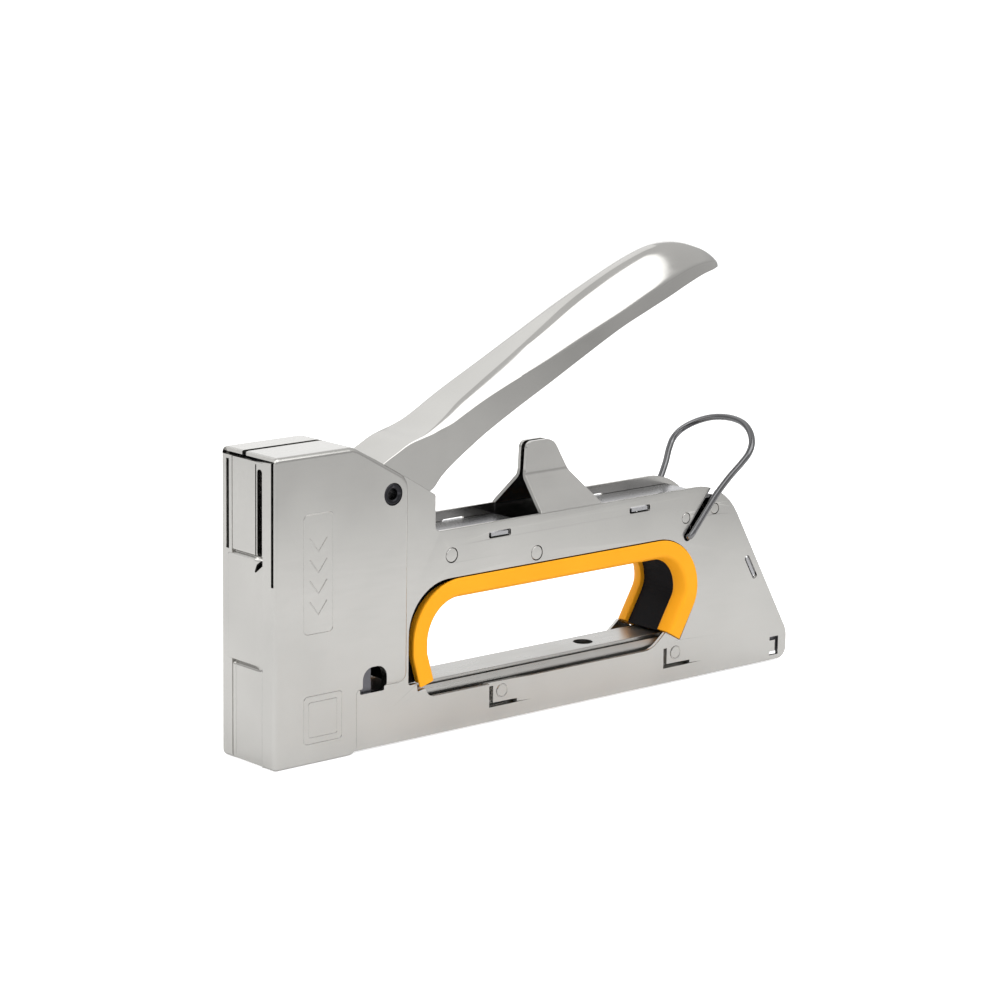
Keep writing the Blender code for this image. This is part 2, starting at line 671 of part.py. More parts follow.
def bail():
    """A wire loop: its ends hook into the shells and its arch holds the closed handle down."""
    half_loop = ((0, BAIL_HALF), (9, BAIL_HALF + 0.05), (14, 10.7), (19, 11.6), (23.5, 13.0), (27.2, 13.5),
                 (30.6, 12.3), (34.0, 9.4), (36.6, 5.2), (BAIL_REACH, 0))
    tilt = math.radians(BAIL_TILT)
    along = Vector((math.cos(tilt), 0, math.sin(tilt)))
    pivot = Vector(BAIL_AXIS)
    loop = [*((reach, -half) for reach, half in half_loop), *((reach, half) for reach, half in half_loop[-2::-1])]
    path = [pivot + along * reach + Vector((0, half, 0)) for reach, half in smooth_path(loop)]
    start = [pivot + Vector((0, -PLATE_INNER - 0.1, 0)), pivot + Vector((0, -BAIL_HALF + 0.5, 0))]
    end = [pivot + Vector((0, -point.y, 0)) for point in start[::-1]]
    path[0] = pivot + Vector((0, -BAIL_HALF, 0)) + along * 0.5
    path[-1] = pivot + Vector((0, BAIL_HALF, 0)) + along * 0.5
    part(wire("bail", start + path + end, BAIL_WIRE, 2), DARK_STEEL, BAIL_PIVOT)


# ---------------------------------------------------------------- magazine

def channel_section(outset):
    """Half of the magazine's hat-shaped section, moved inwards by an amount."""
    top = RAIL_TOP - outset
    return [(-RAIL_WALL_HALF + outset, 1.0), (-RAIL_WALL_HALF + outset, 10.9 - outset * 0.6),
            (-RAIL_HALF + outset * 0.6, top), (RAIL_HALF - outset * 0.6, top),
            (RAIL_WALL_HALF - outset, 10.9 - outset * 0.6), (RAIL_WALL_HALF - outset, 1.0)]


def magazine():
    outline = [Vector(point) for point in channel_section(0) + channel_section(0.9)[::-1]]
    channel = bar("magazine_channel", outline, MAGAZINE_FRONT, MAGAZINE_REAR)
    sight_hole = rod("channel_hole", (105.8, 0, 10), (105.8, 0, 16), 2.5, 24)
    part(cut(channel, sight_hole), CHROME)
    legs = [(-5.3, 4.4), (-5.3, 10.4), (5.3, 10.4), (5.3, 4.4), (4.8, 4.4), (4.8, 9.8), (-4.8, 9.8), (-4.8, 4.4)]
    part(bar("staple_strip", [Vector(point) for point in legs], 5.2, 50), STAPLE)


def drawer():
    rail = [(-4.2, 2.2), (-4.2, 9.3), (-1.1, 9.3), (-1.1, 8.5), (-3.4, 8.5), (-3.4, 3.0), (3.4, 3.0), (3.4, 8.5),
            (1.1, 8.5), (1.1, 9.3), (4.2, 9.3), (4.2, 2.2)]
    front = box("feed_rail_front", (5.6, 7), (-4.2, 4.2), (2.2, 9.3))
    body = bar("feed_rail", [Vector(point) for point in rail], 5.6, 157.4)
    part(settle(join(body, front)), SPRING_STEEL, DRAWER_GUIDE)
    part(rod("guide_rod", (7.3, 0, 5.8), (157.2, 0, 5.8), 0.9, 12), SPRING_STEEL, DRAWER_GUIDE)
    cap_outline = rounded([(157.7, 1.2, 0.6), (169.2, 1.2, 2.5), (168.2, 10.9, 3), (157.7, 10.9, 0.6)])
    cap = plate("end_cap", cap_outline, -5.9, 5.9)
    part(cap, BLACK, DRAWER_GUIDE)
    for name, side, guide in (("left_latch", -1, LEFT_LATCH), ("right_latch", 1, RIGHT_LATCH)):
        clip = box(name, (LATCH_X - 0.6, 168), y_side(side, LATCH_Y - 0.4, LATCH_Y + 0.4), (2.4, 7.2))
        part(clip, DARK_STEEL, guide)


def follower():
    saddle = [(-5.2, 2.6), (-5.2, 10.3), (5.2, 10.3), (5.2, 2.6), (4.55, 2.6), (4.55, 9.6), (-4.55, 9.6),
              (-4.55, 2.6)]
    body = bar("follower", [Vector(point) for point in saddle], 50.6, 63)
    tongue = box("follower_tongue", (52, 62), (-0.75, 0.75), (7, 10))
    core = box("follower_core", (52, 62), (-2.9, 2.9), (3.4, 8.1))
    bore = rod("follower_bore", (40, 0, 5.8), (80, 0, 5.8), 1.3, 12)
    part(settle(cut(join(body, tongue, core), bore)), DARK_STEEL, FOLLOWER_GUIDE)
    points = coil((62.9, 0, 5.8), "X", 1.9, 22, 93.6, per_turn=8)
    part(wire("follower_spring", points, 0.3), SPRING_STEEL, DRAWER_GUIDE)


clear_scene()
PARTS = new_collection("staple_gun")
CUTTERS = new_collection("cutters")
ROOT = empty("staple_gun_frame", (-BODY_LENGTH / 2, 0, 0))
HANDLE_PIVOT = empty("handle_pivot_axis", HANDLE_AXIS, ROOT)
STRIKER_GUIDE = empty("striker_guide", (9, 0, 0), ROOT)
BAIL_PIVOT = empty("bail_pivot_axis", BAIL_AXIS, ROOT)
DRAWER_GUIDE = empty("drawer_guide", (5, 0, 5.8), ROOT)
FOLLOWER_GUIDE = empty("follower_guide", (52, 0, 5.8), ROOT)
LEFT_LATCH = empty("left_latch_axis", (LATCH_X, -LATCH_Y, 0), ROOT)
RIGHT_LATCH = empty("right_latch_axis", (LATCH_X, LATCH_Y, 0), ROOT)

shell("left_shell", -1)
shell("right_shell", 1)
nose_plate()
nose_block()
guide_plates()
spring_seat()
main_spring()
striker()
handle()
lifter_arm()
pivot_pin()
return_spring()
bridge_and_spine()
side_pins()
grip()
bail()
magazine()
drawer()
follower()
bpy.context.view_layer.update()
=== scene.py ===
"""Looks of the hand staple gun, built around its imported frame.

Shapes are written in gun millimetres: x from the nose to the rear, y to the user's right, z up from the
nose foot.
"""

import math

import bmesh
import bpy
from mathutils import Matrix, Vector

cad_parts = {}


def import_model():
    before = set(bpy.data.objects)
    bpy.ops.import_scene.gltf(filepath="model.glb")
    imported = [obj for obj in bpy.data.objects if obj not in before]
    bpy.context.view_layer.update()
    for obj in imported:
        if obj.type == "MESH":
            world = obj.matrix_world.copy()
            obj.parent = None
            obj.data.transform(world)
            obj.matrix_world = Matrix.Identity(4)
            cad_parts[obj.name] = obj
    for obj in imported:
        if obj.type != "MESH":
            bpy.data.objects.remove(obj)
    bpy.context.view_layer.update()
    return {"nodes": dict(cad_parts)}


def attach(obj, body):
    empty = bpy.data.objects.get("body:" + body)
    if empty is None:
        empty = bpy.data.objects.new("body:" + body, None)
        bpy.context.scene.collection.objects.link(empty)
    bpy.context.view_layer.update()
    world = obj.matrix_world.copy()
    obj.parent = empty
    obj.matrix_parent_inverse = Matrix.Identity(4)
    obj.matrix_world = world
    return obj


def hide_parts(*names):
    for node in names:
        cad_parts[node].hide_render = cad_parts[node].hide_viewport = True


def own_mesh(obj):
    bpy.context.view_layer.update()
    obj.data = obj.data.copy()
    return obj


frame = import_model()
NODES = frame["nodes"]
MM = 0.001
ORIGIN_X = 85.0                # the nose front is this far in front of the frame's origin

# Camera: angles in degrees, distance and target in gun millimetres
CAMERA_AZIMUTH = -41.08
CAMERA_ELEVATION = 11.94
CAMERA_ROLL = 0.80
CAMERA_DISTANCE = 835.0
CAMERA_TARGET = (77.3, 0.0, 53.2)
CAMERA_LENS = 122.4

# Floor: how pale its painted pool of light is near the middle and far out, then its own light in
# reflections and in the view
FLOOR_LIGHT_POOL_NEAR = 0.90
FLOOR_LIGHT_POOL_FAR = 0.52
FLOOR_GLOW = 0.12
FLOOR_GLOW_SEEN = 0.75
# Painted pool of light: the floor's colour is paler around this centre and darker out to this reach
FLOOR_LIGHT_POOL_CENTRE = (-0.08, 0.12, 0.0)   # metres; the floor is palest around here
FLOOR_LIGHT_POOL_REACH = (0.29, 0.44)          # metres; the fade starts and ends this far out

# Soft boxes: name, azimuth from +X toward +Y, elevation, distance in metres, width and height, power
SOFT_BOXES = (
    ("front_box", -73, 53, 0.8, (0.62, 0.8), 2.5),
    ("rim_box", 74, 45, 0.8, (0.7, 0.45), 0.46),
    ("fill_box", -138, 42, 0.8, (0.5, 0.5), 1.1),
    ("back_box", 56, 14, 0.8, (0.8, 0.3), 0.52),
    ("left_box", 155, 38, 0.8, (0.5, 0.4), 0.8),
    ("corner_box", -140, 4, 1.1, (0.14, 0.5), 0.45),
)

# Room in reflections: the range of heights that the levels are spread over, then (share, level)
ROOM_SPAN = (-0.2, 1.0)
ROOM_LEVELS = ((0.0, 0.95), (0.17, 0.62), (0.30, 0.55), (0.55, 0.75), (1.0, 0.85))

# Body: outlines are (x, z, corner radius), other places (x, z), widths are measured from the middle
NOSE_HALF = 10.3
PLATE_HALF = 9.3
PLATE_INNER = 8.3
SHEET = 1.0
WALL = 1.1                     # sheet of the nose and the handle
FOLD = 1.1                     # outer radius of the nose's folds
RIM = 0.13                     # rounding of cut sheet edges
FLANGE_TOP = 72.7
TOP_UNDERSIDE = 73.2
FLANGE_INNER_Y = 5.9           # the front flanges end here, beside the nose plate
TOP_SEAM = 2.0                 # y of the seam between the shells on top
SEAM_GAP = 0.75                # half the width of that seam
# Gap under the top of the nose, in y and z
TOP_GAP = ((-9.9, 73.15), (-3.0, FLANGE_TOP), (9.6, FLANGE_TOP), (9.6, 73.3), (-9.9, 73.3))
# Holes, pins and rivets
HANDLE_AXIS = (35.1, 61.7)
PIVOT_HOLE = 2.74              # radius, as are the next four
GRIP_PIN_RADIUS = 1.7
GRIP_PIN_HOLE = 1.86
RIVET_RADIUS = 1.3
RIVET_HOLE = 1.42
TAB_SLOT = (7.0, 1.6)          # length and width
BAIL_AXIS = (132.8, 0.0, 38.2)
BAIL_ANGLE = 48.5              # degrees above level at rest
BAIL_WIRE = 0.84               # radius
BAIL_SLOT_ANGLE = 50.5
BAIL_SLOT_WIDTH = 2.5
LEFT_BAIL_SLOT = (8.7, 20.0)   # how far its middle is from the bail's axis, and its length
RIGHT_BAIL_SLOT = (3.2, 9.0)
GRIP_PINS = ((54.2, 44.2), (81.5, 41.0))
REAR_RIVETS = ((132.2, 43.0), (142.4, 44.2))
# Tab slots: x, z and tilt
TABS = ((69.4, 47.5, 0.0), (115.9, 47.5, 0.0), (156.1, 26.9, -60.0))
NOSE_OUTLINE = ((0, 0, 1.3), (25, 0, 2.5), (25, 15.3, 0.6), (40, 15.3, 2.5), (40, 65, 4.5),
                (28, 71.8, 8), (23.5, 74.3, 6), (0, 74.3, 1.4))
NOSE_HOLLOW = ((WALL, -2), (45, -2), (45, 80), (26.3, 80), (26.3, 71.6), (23.2, TOP_UNDERSIDE),
               (WALL, TOP_UNDERSIDE))
PLATE_OUTLINE = ((21, 0.6, 0), (170, 0.6, 3), (170, 8, 6), (145.6, 50.6, 17), (49, 50.6, 1.6),
                 (49, 59.7, 0.8), (39.4, 65.4, 1), (21, 65.4, 0))
OPENING_OUTLINE = ((41, 14.1, 0.6), (41, 38.55, 12.5), (136.5, 38.55, 13.8), (136.7, 21.8, 10),
                   (130.9, 11.3, 0.3), (126.0, 14.1, 0.6), (121, 10.2, 7), (47.6, 10.2, 2.5),
                   (46.2, 12.6, 0.3), (43.8, 12.1, 0.3), (43.7, 14.1, 0.3))
TRIM_PATH = ((44.2, 13.0, 0), (42.0, 20.5, 8), (41.9, 38.6, 15), (136.6, 38.6, 13.8), (136.75, 21.9, 10),
             (130.7, 11.5, 0))
# Section of a trim: depth from the rim of the opening, and y
TRIM_SECTION = ((1.6, 6.0), (1.6, 8.7), (0.4, 8.9), (0.4, 9.35), (0.25, 9.4), (0.28, 9.65), (0.5, 9.82),
                (0.9, 9.9), (3.7, 9.9), (4.15, 9.82), (4.5, 9.6),
                (4.8, 9.2), (5.1, 8.5), (5.35, 7.8), (5.52, 7.1), (5.6, 6.5), (5.5, 6.1), (5.3, 6.0))
# The thumb fin: its section in y, z and corner radius, and its outline
FIN_PATH = ((-PLATE_HALF + 0.03, 47, 0), (-PLATE_HALF + 0.03, 50.8, 1.8), (-1.6, 58.8, 2.0), (-1.6, 70, 0))
FIN_OUTLINE = ((82.8, 45, 0), (82.8, 50.6, 0), (84.2, 60, 6), (84.6, 67.1, 1.8), (93.2, 67.1, 4.2),
               (97.2, 60.4, 5), (103, 50.6, 0), (103, 45, 0))
WINDOW_OUTLINE = ((26.2, 14.2, 0.4), (33.5, 14.2, 0.4), (33.5, 20.8, 3), (26.2, 20.8, 3))
CATCH_OUTLINE = ((163.9, 1.9), (167.0, 1.9), (167.0, 6.8), (163.9, 6.8), (163.9, 5.9), (165.9, 5.9),
                 (165.9, 2.8), (163.9, 2.8))
# Pressed tabs: front, start of the ramp, end of the ramp, lower edge, upper edge, top of the bump inside
POCKETS = ((66.6, 74.5, 82.2, 4.2, 10.2, 10.19), (125.3, 133.5, 140.6, 4.5, 10.4, 11.2))
POCKET_DEPTH = 0.75


# ---------------------------------------------------------------- places and outlines

def at(x, y, z):
    """A point in gun millimetres as a point in the frame."""
    return Vector(((x - ORIGIN_X) * MM, y * MM, z * MM))


def rounded(corners, closed=True, step_angle=7.5):
    """Points along an outline whose corners are (x, z, radius)."""
    points = []
    count = len(corners)
    for index, (x, z, radius) in enumerate(corners):
        corner = Vector((x, z))
        is_end = not closed and index in (0, count - 1)
        if radius == 0 or is_end:
            points.append(corner)
            continue
        before = (Vector(corners[index - 1][:2]) - corner).normalized()
        after = (Vector(corners[(index + 1) % count][:2]) - corner).normalized()
        half_angle = before.angle(after) / 2
        centre = corner + (before + after).normalized() * (radius / math.sin(half_angle))
        start = corner + before * (radius / math.tan(half_angle)) - centre
        turn = math.pi - 2 * half_angle
        if before.cross(after) > 0:
            turn = -turn
        steps = max(3, round(abs(turn) / math.radians(step_angle)))
        for step in range(steps + 1):
            points.append(centre + Matrix.Rotation(turn * step / steps, 2) @ start)
    return points


def beside(path, distance):
    """A path moved sideways to its left by a distance."""
    moved = []
    last = len(path) - 1
    for index, point in enumerate(path):
        back = (point - path[max(index - 1, 0)]).normalized()
        ahead = (path[min(index + 1, last)] - point).normalized()
        along = (back + ahead).normalized()
        stretch = 1.0
        if 0 < index < last:
            stretch = 1 / max(0.3, along.dot(ahead))
        moved.append(point + Vector((-along.y, along.x)) * distance * stretch)
    return moved


def band(path, inner, outer):
    return beside(path, inner) + beside(path, outer)[::-1]


def circle(x, z, radius, sides=48):
    angles = [math.tau * k / sides for k in range(sides)]
    return [Vector((x + radius * math.cos(angle), z + radius * math.sin(angle))) for angle in angles]


def slot_outline(x, z, length, width, tilt=0.0, radius=0.25):
    turn = Matrix.Rotation(math.radians(tilt), 2)
    signs = ((-1, -1), (1, -1), (1, 1), (-1, 1))
    corners = [Vector((x, z)) + turn @ Vector((length / 2 * a, width / 2 * b)) for a, b in signs]
    return rounded([(*corner, radius) for corner in corners], step_angle=20)


def between(a, b, c, d, t):
    """A smooth step from b to c, which also heeds the values before and after them."""
    return (b + (c - a) * t / 2 + (2 * a - 5 * b + 4 * c - d) * t ** 2 / 2
            + (3 * b - a - 3 * c + d) * t ** 3 / 2)


def smooth_path(points, steps):
    """Points along a smooth curve through the given ones."""
    path = []
    last = len(points) - 1
    for index in range(last):
        a, b, c, d = (Vector(points[max(0, min(last, index + k))]) for k in (-1, 0, 1, 2))
        path += [between(a, b, c, d, step / steps) for step in range(steps)]
    path.append(Vector(points[-1]))
    return path


def ease(low, high, value):
    """0 below low, 1 above high, and a smooth ramp between."""
    t = max(0.0, min(1.0, (value - low) / (high - low)))
    return t * t * (3 - 2 * t)


# ---------------------------------------------------------------- solids

def new_object(name, mesh):
    mesh.name = name
    body = bpy.data.objects.new(name, mesh)
    bpy.context.scene.collection.objects.link(body)
    return body


def from_bmesh(name, shape):
    bmesh.ops.recalc_face_normals(shape, faces=shape.faces)
    mesh = bpy.data.meshes.new(name)
    shape.to_mesh(mesh)
    shape.free()
    return new_object(name, mesh)


def result_mesh(body):
    graph = bpy.context.evaluated_depsgraph_get()
    return bpy.data.meshes.new_from_object(body.evaluated_get(graph))


def from_curve(name, curve, matrix):
    shape = bpy.data.objects.new(name + "_curve", curve)
    bpy.context.scene.collection.objects.link(shape)
    mesh = result_mesh(shape)
    bpy.data.objects.remove(shape, do_unlink=True)
    mesh.transform(matrix)
    weld = bmesh.new()
    weld.from_mesh(mesh)
    bmesh.ops.remove_doubles(weld, verts=weld.verts, dist=1e-7)
    bpy.data.meshes.remove(mesh)
    return from_bmesh(name, weld)


def flat_curve(name, outlines, thickness, rim, rim_steps):
    curve = bpy.data.curves.new(name, "CURVE")
    curve.dimensions = "2D"
    curve.fill_mode = "BOTH"
    curve.extrude = (thickness / 2 - rim) * MM
    curve.bevel_depth = rim * MM
    curve.bevel_resolution = rim_steps
    curve.offset = -rim * MM
    for outline in outlines:
        spline = curve.splines.new("POLY")
        spline.points.add(len(outline) - 1)
        for target, point in zip(spline.points, outline):
            target.co = (point[0] * MM, point[1] * MM, 0.0, 1.0)
        spline.use_cyclic_u = True
    return curve


def plate(name, outlines, y_near, y_far, rim=0.0, rim_steps=1):
    """A flat piece with rounded rims: outlines in x and z, between two values of y."""
    low, high = sorted((y_near, y_far))
    curve = flat_curve(name, outlines, high - low, rim, rim_steps)
    stand = Matrix.Translation(at(0, (low + high) / 2, 0)) @ Matrix.Rotation(math.pi / 2, 4, "X")
    return from_curve(name, curve, stand)


def bar(name, outline, x_front, x_rear, rim=0.0):
    """A straight section: an outline in y and z, between two values of x."""
    curve = flat_curve(name, (outline,), x_rear - x_front, rim, 1)
    lie = Matrix(((0, 0, 1, 0), (1, 0, 0, 0), (0, 1, 0, 0), (0, 0, 0, 1)))
    return from_curve(name, curve, Matrix.Translation(at((x_front + x_rear) / 2, 0, 0)) @ lie)


def wedge(name, outline, side, low, high):
    """An outline in x and y, between two heights."""
    curve = flat_curve(name, ([Vector((x, y * side)) for x, y in outline],), high - low, 0, 1)
    return from_curve(name, curve, Matrix.Translation(at(0, 0, (low + high) / 2)))


def block(name, x_span, y_span, z_span):
    shape = bmesh.new()
    bmesh.ops.create_cube(shape, size=1.0)
    spans = (sorted(x_span), sorted(y_span), sorted(z_span))
    size = [(high - low) * MM for low, high in spans]
    middle = at(*((high + low) / 2 for low, high in spans))
    matrix = Matrix.Translation(middle) @ Matrix.Diagonal((*size, 1))
    bmesh.ops.transform(shape, matrix=matrix, verts=shape.verts)
    return from_bmesh(name, shape)


def skin_between(shape, rings, closed_ring=True):
    for ring, following in zip(rings, rings[1:]):
        count = len(ring)
        for index in range(count if closed_ring else count - 1):
            ahead = (index + 1) % count
            shape.faces.new((ring[index], ring[ahead], following[ahead], following[index]))


def loft(name, rings):
    """A closed solid through rings of points in gun millimetres."""
    shape = bmesh.new()
    made = [[shape.verts.new(at(*point)) for point in ring] for ring in rings]
    skin_between(shape, made)
    shape.faces.new(made[0])
    shape.faces.new(made[-1])
    return from_bmesh(name, shape)


def turned(name, place, profile, sides=40):
    """A solid of revolution about a line along y: profile points are (radius, y)."""
    shape = bmesh.new()
    rings = []
    for radius, y in profile:
        points = circle(*place, max(radius, 0.01), sides)
        rings.append([shape.verts.new(at(point.x, y, point.y)) for point in points])
    skin_between(shape, rings)
    if profile[0] != profile[-1]:
        shape.faces.new(rings[0])
        shape.faces.new(rings[-1])
    else:
        bmesh.ops.remove_doubles(shape, verts=shape.verts, dist=1e-7)
    return from_bmesh(name, shape)


def wire(name, points, radius, resolution=4, closed=False):
    """A bent wire through points in gun millimetres."""
    curve = bpy.data.curves.new(name, "CURVE")
    curve.dimensions = "3D"
    curve.bevel_depth = radius * MM
    curve.bevel_resolution = resolution
    curve.use_fill_caps = not closed
    spline = curve.splines.new("POLY")
    spline.points.add(len(points) - 1)
    for target, point in zip(spline.points, points):
        target.co = (*at(*point), 1.0)
    spline.use_cyclic_u = closed
    return from_curve(name, curve, Matrix.Identity(4))


def combine(body, operation, others):
    for other in others:
        modifier = body.modifiers.new("combine", "BOOLEAN")
        modifier.operation = operation
        modifier.solver = "EXACT"
        modifier.object = other
        mesh = result_mesh(body)
        body.modifiers.clear()
        body.data = mesh
        bpy.data.objects.remove(other, do_unlink=True)
    return body


def cut(body, *cutters):
    return combine(body, "DIFFERENCE", cutters)


def merge(name, bodies):
    """Several meshes as one object, without changing them."""
    shape = bmesh.new()
    for body in bodies:
        shape.from_mesh(body.data)
        bpy.data.objects.remove(body, do_unlink=True)
    mesh = bpy.data.meshes.new(name)
    shape.to_mesh(mesh)
    shape.free()
    return new_object(name, mesh)


def soften(body, width, steps=2, angle=40.0):
    """Round the sharp edges a little."""
    bevel = body.modifiers.new("soft_edges", "BEVEL")
    bevel.width = width * MM
    bevel.segments = steps
    bevel.limit_method = "ANGLE"
    bevel.angle_limit = math.radians(angle)
    bevel.use_clamp_overlap = True
    return body


def smooth_shade(body, angle=40.0):
    body.data.shade_smooth()
    body.data.set_sharp_from_angle(angle=math.radians(angle))


def finish_piece(body, material, rides_on, slot, *nodes, angle=40.0, weighted=True):
    """Give a piece its shading, material and body, and hide the CAD nodes that it stands for; the slot
    argument is not used.
    """
    smooth_shade(body, angle)
    if weighted:
        normals = body.modifiers.new("face_normals", "WEIGHTED_NORMAL")
        normals.keep_sharp = True
    body.data.materials.clear()
    body.data.materials.append(material)
    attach(body, rides_on)
    if nodes:
        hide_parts(*nodes)
    return body


# ---------------------------------------------------------------- materials

class Nodes:
    """A small helper that adds shader nodes and links them."""

    def __init__(self, name):
        self.material = bpy.data.materials.new(name)
        self.material.use_nodes = True
        self.tree = self.material.node_tree
        self.shader = self.tree.nodes["Principled BSDF"]
        self.place = self.add("ShaderNodeTexCoord").outputs["Object"]

    def add(self, kind, **settings):
        node = self.tree.nodes.new(kind)
        for key, value in settings.items():
            setattr(node, key, value)
        return node

    def link(self, start, end):
        self.tree.links.new(start, end)

    def noise(self, scale, detail=3.0, stretch=None):
        """A noise pattern; its scale is in cycles per metre."""
        node = self.add("ShaderNodeTexNoise")
        node.inputs["Scale"].default_value = scale
        node.inputs["Detail"].default_value = detail
        if stretch:
            mapping = self.add("ShaderNodeMapping")
            mapping.inputs["Scale"].default_value = stretch
            self.link(self.place, mapping.inputs["Vector"])
            self.link(mapping.outputs["Vector"], node.inputs["Vector"])
        else:
            self.link(self.place, node.inputs["Vector"])
        return node.outputs["Fac"]

    def spread(self, value, low, high, from_low=0.3, from_high=0.7):
        node = self.add("ShaderNodeMapRange")
        limits = {"From Min": from_low, "From Max": from_high, "To Min": low, "To Max": high}
        for key, number in limits.items():
            node.inputs[key].default_value = number
        self.link(value, node.inputs["Value"])
        return node.outputs["Result"]

    def colours(self, value, *stops):
        """A colour ramp: stops are (position, colour)."""
        node = self.add("ShaderNodeValToRGB")
        ramp = node.color_ramp
        for index, (position, colour) in enumerate(stops):
            stop = ramp.elements[index] if index < 2 else ramp.elements.new(position)
            stop.position = position
            stop.color = (*colour, 1.0)
        self.link(value, node.inputs["Fac"])
        return node.outputs["Color"]

    def bumps(self, *layers):
        """Bump layers, each (height, strength, depth in millimetres)."""
        normal = None
        for height, strength, depth in layers:
            node = self.add("ShaderNodeBump")
            node.inputs["Strength"].default_value = strength
            node.inputs["Distance"].default_value = depth * MM
            self.link(height, node.inputs["Height"])
            if normal:
                self.link(normal, node.inputs["Normal"])
            normal = node.outputs["Normal"]
        self.link(normal, self.shader.inputs["Normal"])

    def set(self, **values):
        for key, value in values.items():
            self.shader.inputs[key.replace("_", " ")].default_value = value


def scaled(colour, factor):
    return tuple(min(1.0, value * factor) for value in colour)


def plated_steel(name, colour, low_roughness, high_roughness, waviness):
    """Bright nickel plating on pressed sheet: soft clouding, a faint rolling grain and slight waves."""
    nodes = Nodes(name)
    clouds = nodes.noise(45.0, 2.0)
    grain = nodes.noise(900.0, 4.0, stretch=(0.12, 1.0, 1.0))
    pits = nodes.noise(5200.0, 2.0)
    nodes.link(nodes.colours(clouds, (0.30, scaled(colour, 0.95)), (0.70, scaled(colour, 1.05))),
               nodes.shader.inputs["Base Color"])
    rough = nodes.add("ShaderNodeMath", operation="ADD")
    nodes.link(nodes.spread(clouds, low_roughness, high_roughness), rough.inputs[0])
    nodes.link(nodes.spread(grain, -0.015, 0.03), rough.inputs[1])
    nodes.link(rough.outputs["Value"], nodes.shader.inputs["Roughness"])
    nodes.bumps((nodes.noise(28.0, 1.0), waviness, 0.5), (grain, 0.05, 0.02), (pits, 0.04, 0.01))
    nodes.set(Metallic=1.0)
    return nodes.material


def ground_steel(name, colour, roughness, stretch=(1.0, 1.0, 0.08), wear=1.6):
    """Machined or drawn steel: fine lines along one direction, mottled, and brighter where it rubs."""
    nodes = Nodes(name)
    lines = nodes.noise(2600.0, 3.0, stretch=stretch)
    clouds = nodes.noise(110.0, 3.0)
    mottled = nodes.colours(clouds, (0.25, scaled(colour, 0.75)), (0.75, scaled(colour, 1.2)))
    edges = nodes.add("ShaderNodeNewGeometry").outputs["Pointiness"]
    mix = nodes.add("ShaderNodeMix", data_type="RGBA")
    nodes.link(nodes.spread(edges, 0.0, 0.7, 0.52, 0.60), mix.inputs["Factor"])
    nodes.link(mottled, mix.inputs["A"])
    mix.inputs["B"].default_value = (*scaled(colour, wear), 1.0)
    nodes.link(mix.outputs["Result"], nodes.shader.inputs["Base Color"])
    nodes.link(nodes.spread(lines, roughness * 0.8, roughness * 1.3), nodes.shader.inputs["Roughness"])
    nodes.bumps((lines, 0.15, 0.03))
    nodes.set(Metallic=1.0)
    return nodes.material


def moulded_plastic(name, colour, dark, roughness, grain_size):
    """Matt moulded plastic: fine spark-eroded grain, faint flow clouding and slightly polished edges."""
    nodes = Nodes(name)
    clouds = nodes.noise(70.0, 3.0)
    grain = nodes.noise(grain_size, 2.0)
    nodes.link(nodes.colours(clouds, (0.30, dark), (0.70, colour)), nodes.shader.inputs["Base Color"])
    edges = nodes.add("ShaderNodeNewGeometry").outputs["Pointiness"]
    rough = nodes.add("ShaderNodeMath", operation="ADD")
    nodes.link(nodes.spread(grain, roughness - 0.05, roughness + 0.06), rough.inputs[0])
    nodes.link(nodes.spread(edges, 0.0, -0.12, 0.52, 0.60), rough.inputs[1])
    nodes.link(rough.outputs["Value"], nodes.shader.inputs["Roughness"])
    nodes.bumps((grain, 0.25, 0.03), (nodes.noise(160.0, 1.0), 0.10, 0.1))
    nodes.set(Metallic=0.0, Specular_IOR_Level=0.12)
    return nodes.material


NICKEL = (0.50, 0.492, 0.474)
SHELL_STEEL = plated_steel("shell_nickel", NICKEL, 0.16, 0.22, 0.10)
HANDLE_STEEL = plated_steel("handle_nickel", scaled(NICKEL, 1.02), 0.10, 0.15, 0.06)
MAGAZINE_STEEL = plated_steel("magazine_nickel", scaled(NICKEL, 0.80), 0.24, 0.34, 0.04)
SPRING_STEEL = ground_steel("spring_steel", (0.30, 0.30, 0.31), 0.28)
DARK_STEEL = ground_steel("hardened_steel", (0.10, 0.10, 0.11), 0.34)
WIRE_STEEL = ground_steel("drawn_wire", (0.155, 0.155, 0.16), 0.14, stretch=(0.1, 1.0, 0.1))
BLACK_OXIDE = ground_steel("black_oxide", (0.018, 0.018, 0.020), 0.32, wear=4.0)
STAPLE_STEEL = ground_steel("galvanised_wire", (0.58, 0.58, 0.57), 0.26)
ORANGE = moulded_plastic("orange_plastic", (0.97, 0.415, 0.016), (0.94, 0.39, 0.013), 0.50, 2400.0)
BLACK_PLASTIC = moulded_plastic("black_plastic", (0.006, 0.0055, 0.007), (0.004, 0.004, 0.005), 0.70,
                                2000.0)


# ---------------------------------------------------------------- shells

def sides(side, *distances):
    return [side * distance for distance in distances]


def shared_openings():
    """Cutters for the pivot hole and the window, which go through both layers of a side."""
    pivot = turned("pivot", HANDLE_AXIS, ((PIVOT_HOLE, -12), (PIVOT_HOLE, 12)))
    return [pivot, plate("window", [rounded(WINDOW_OUTLINE)], -12, 12)]


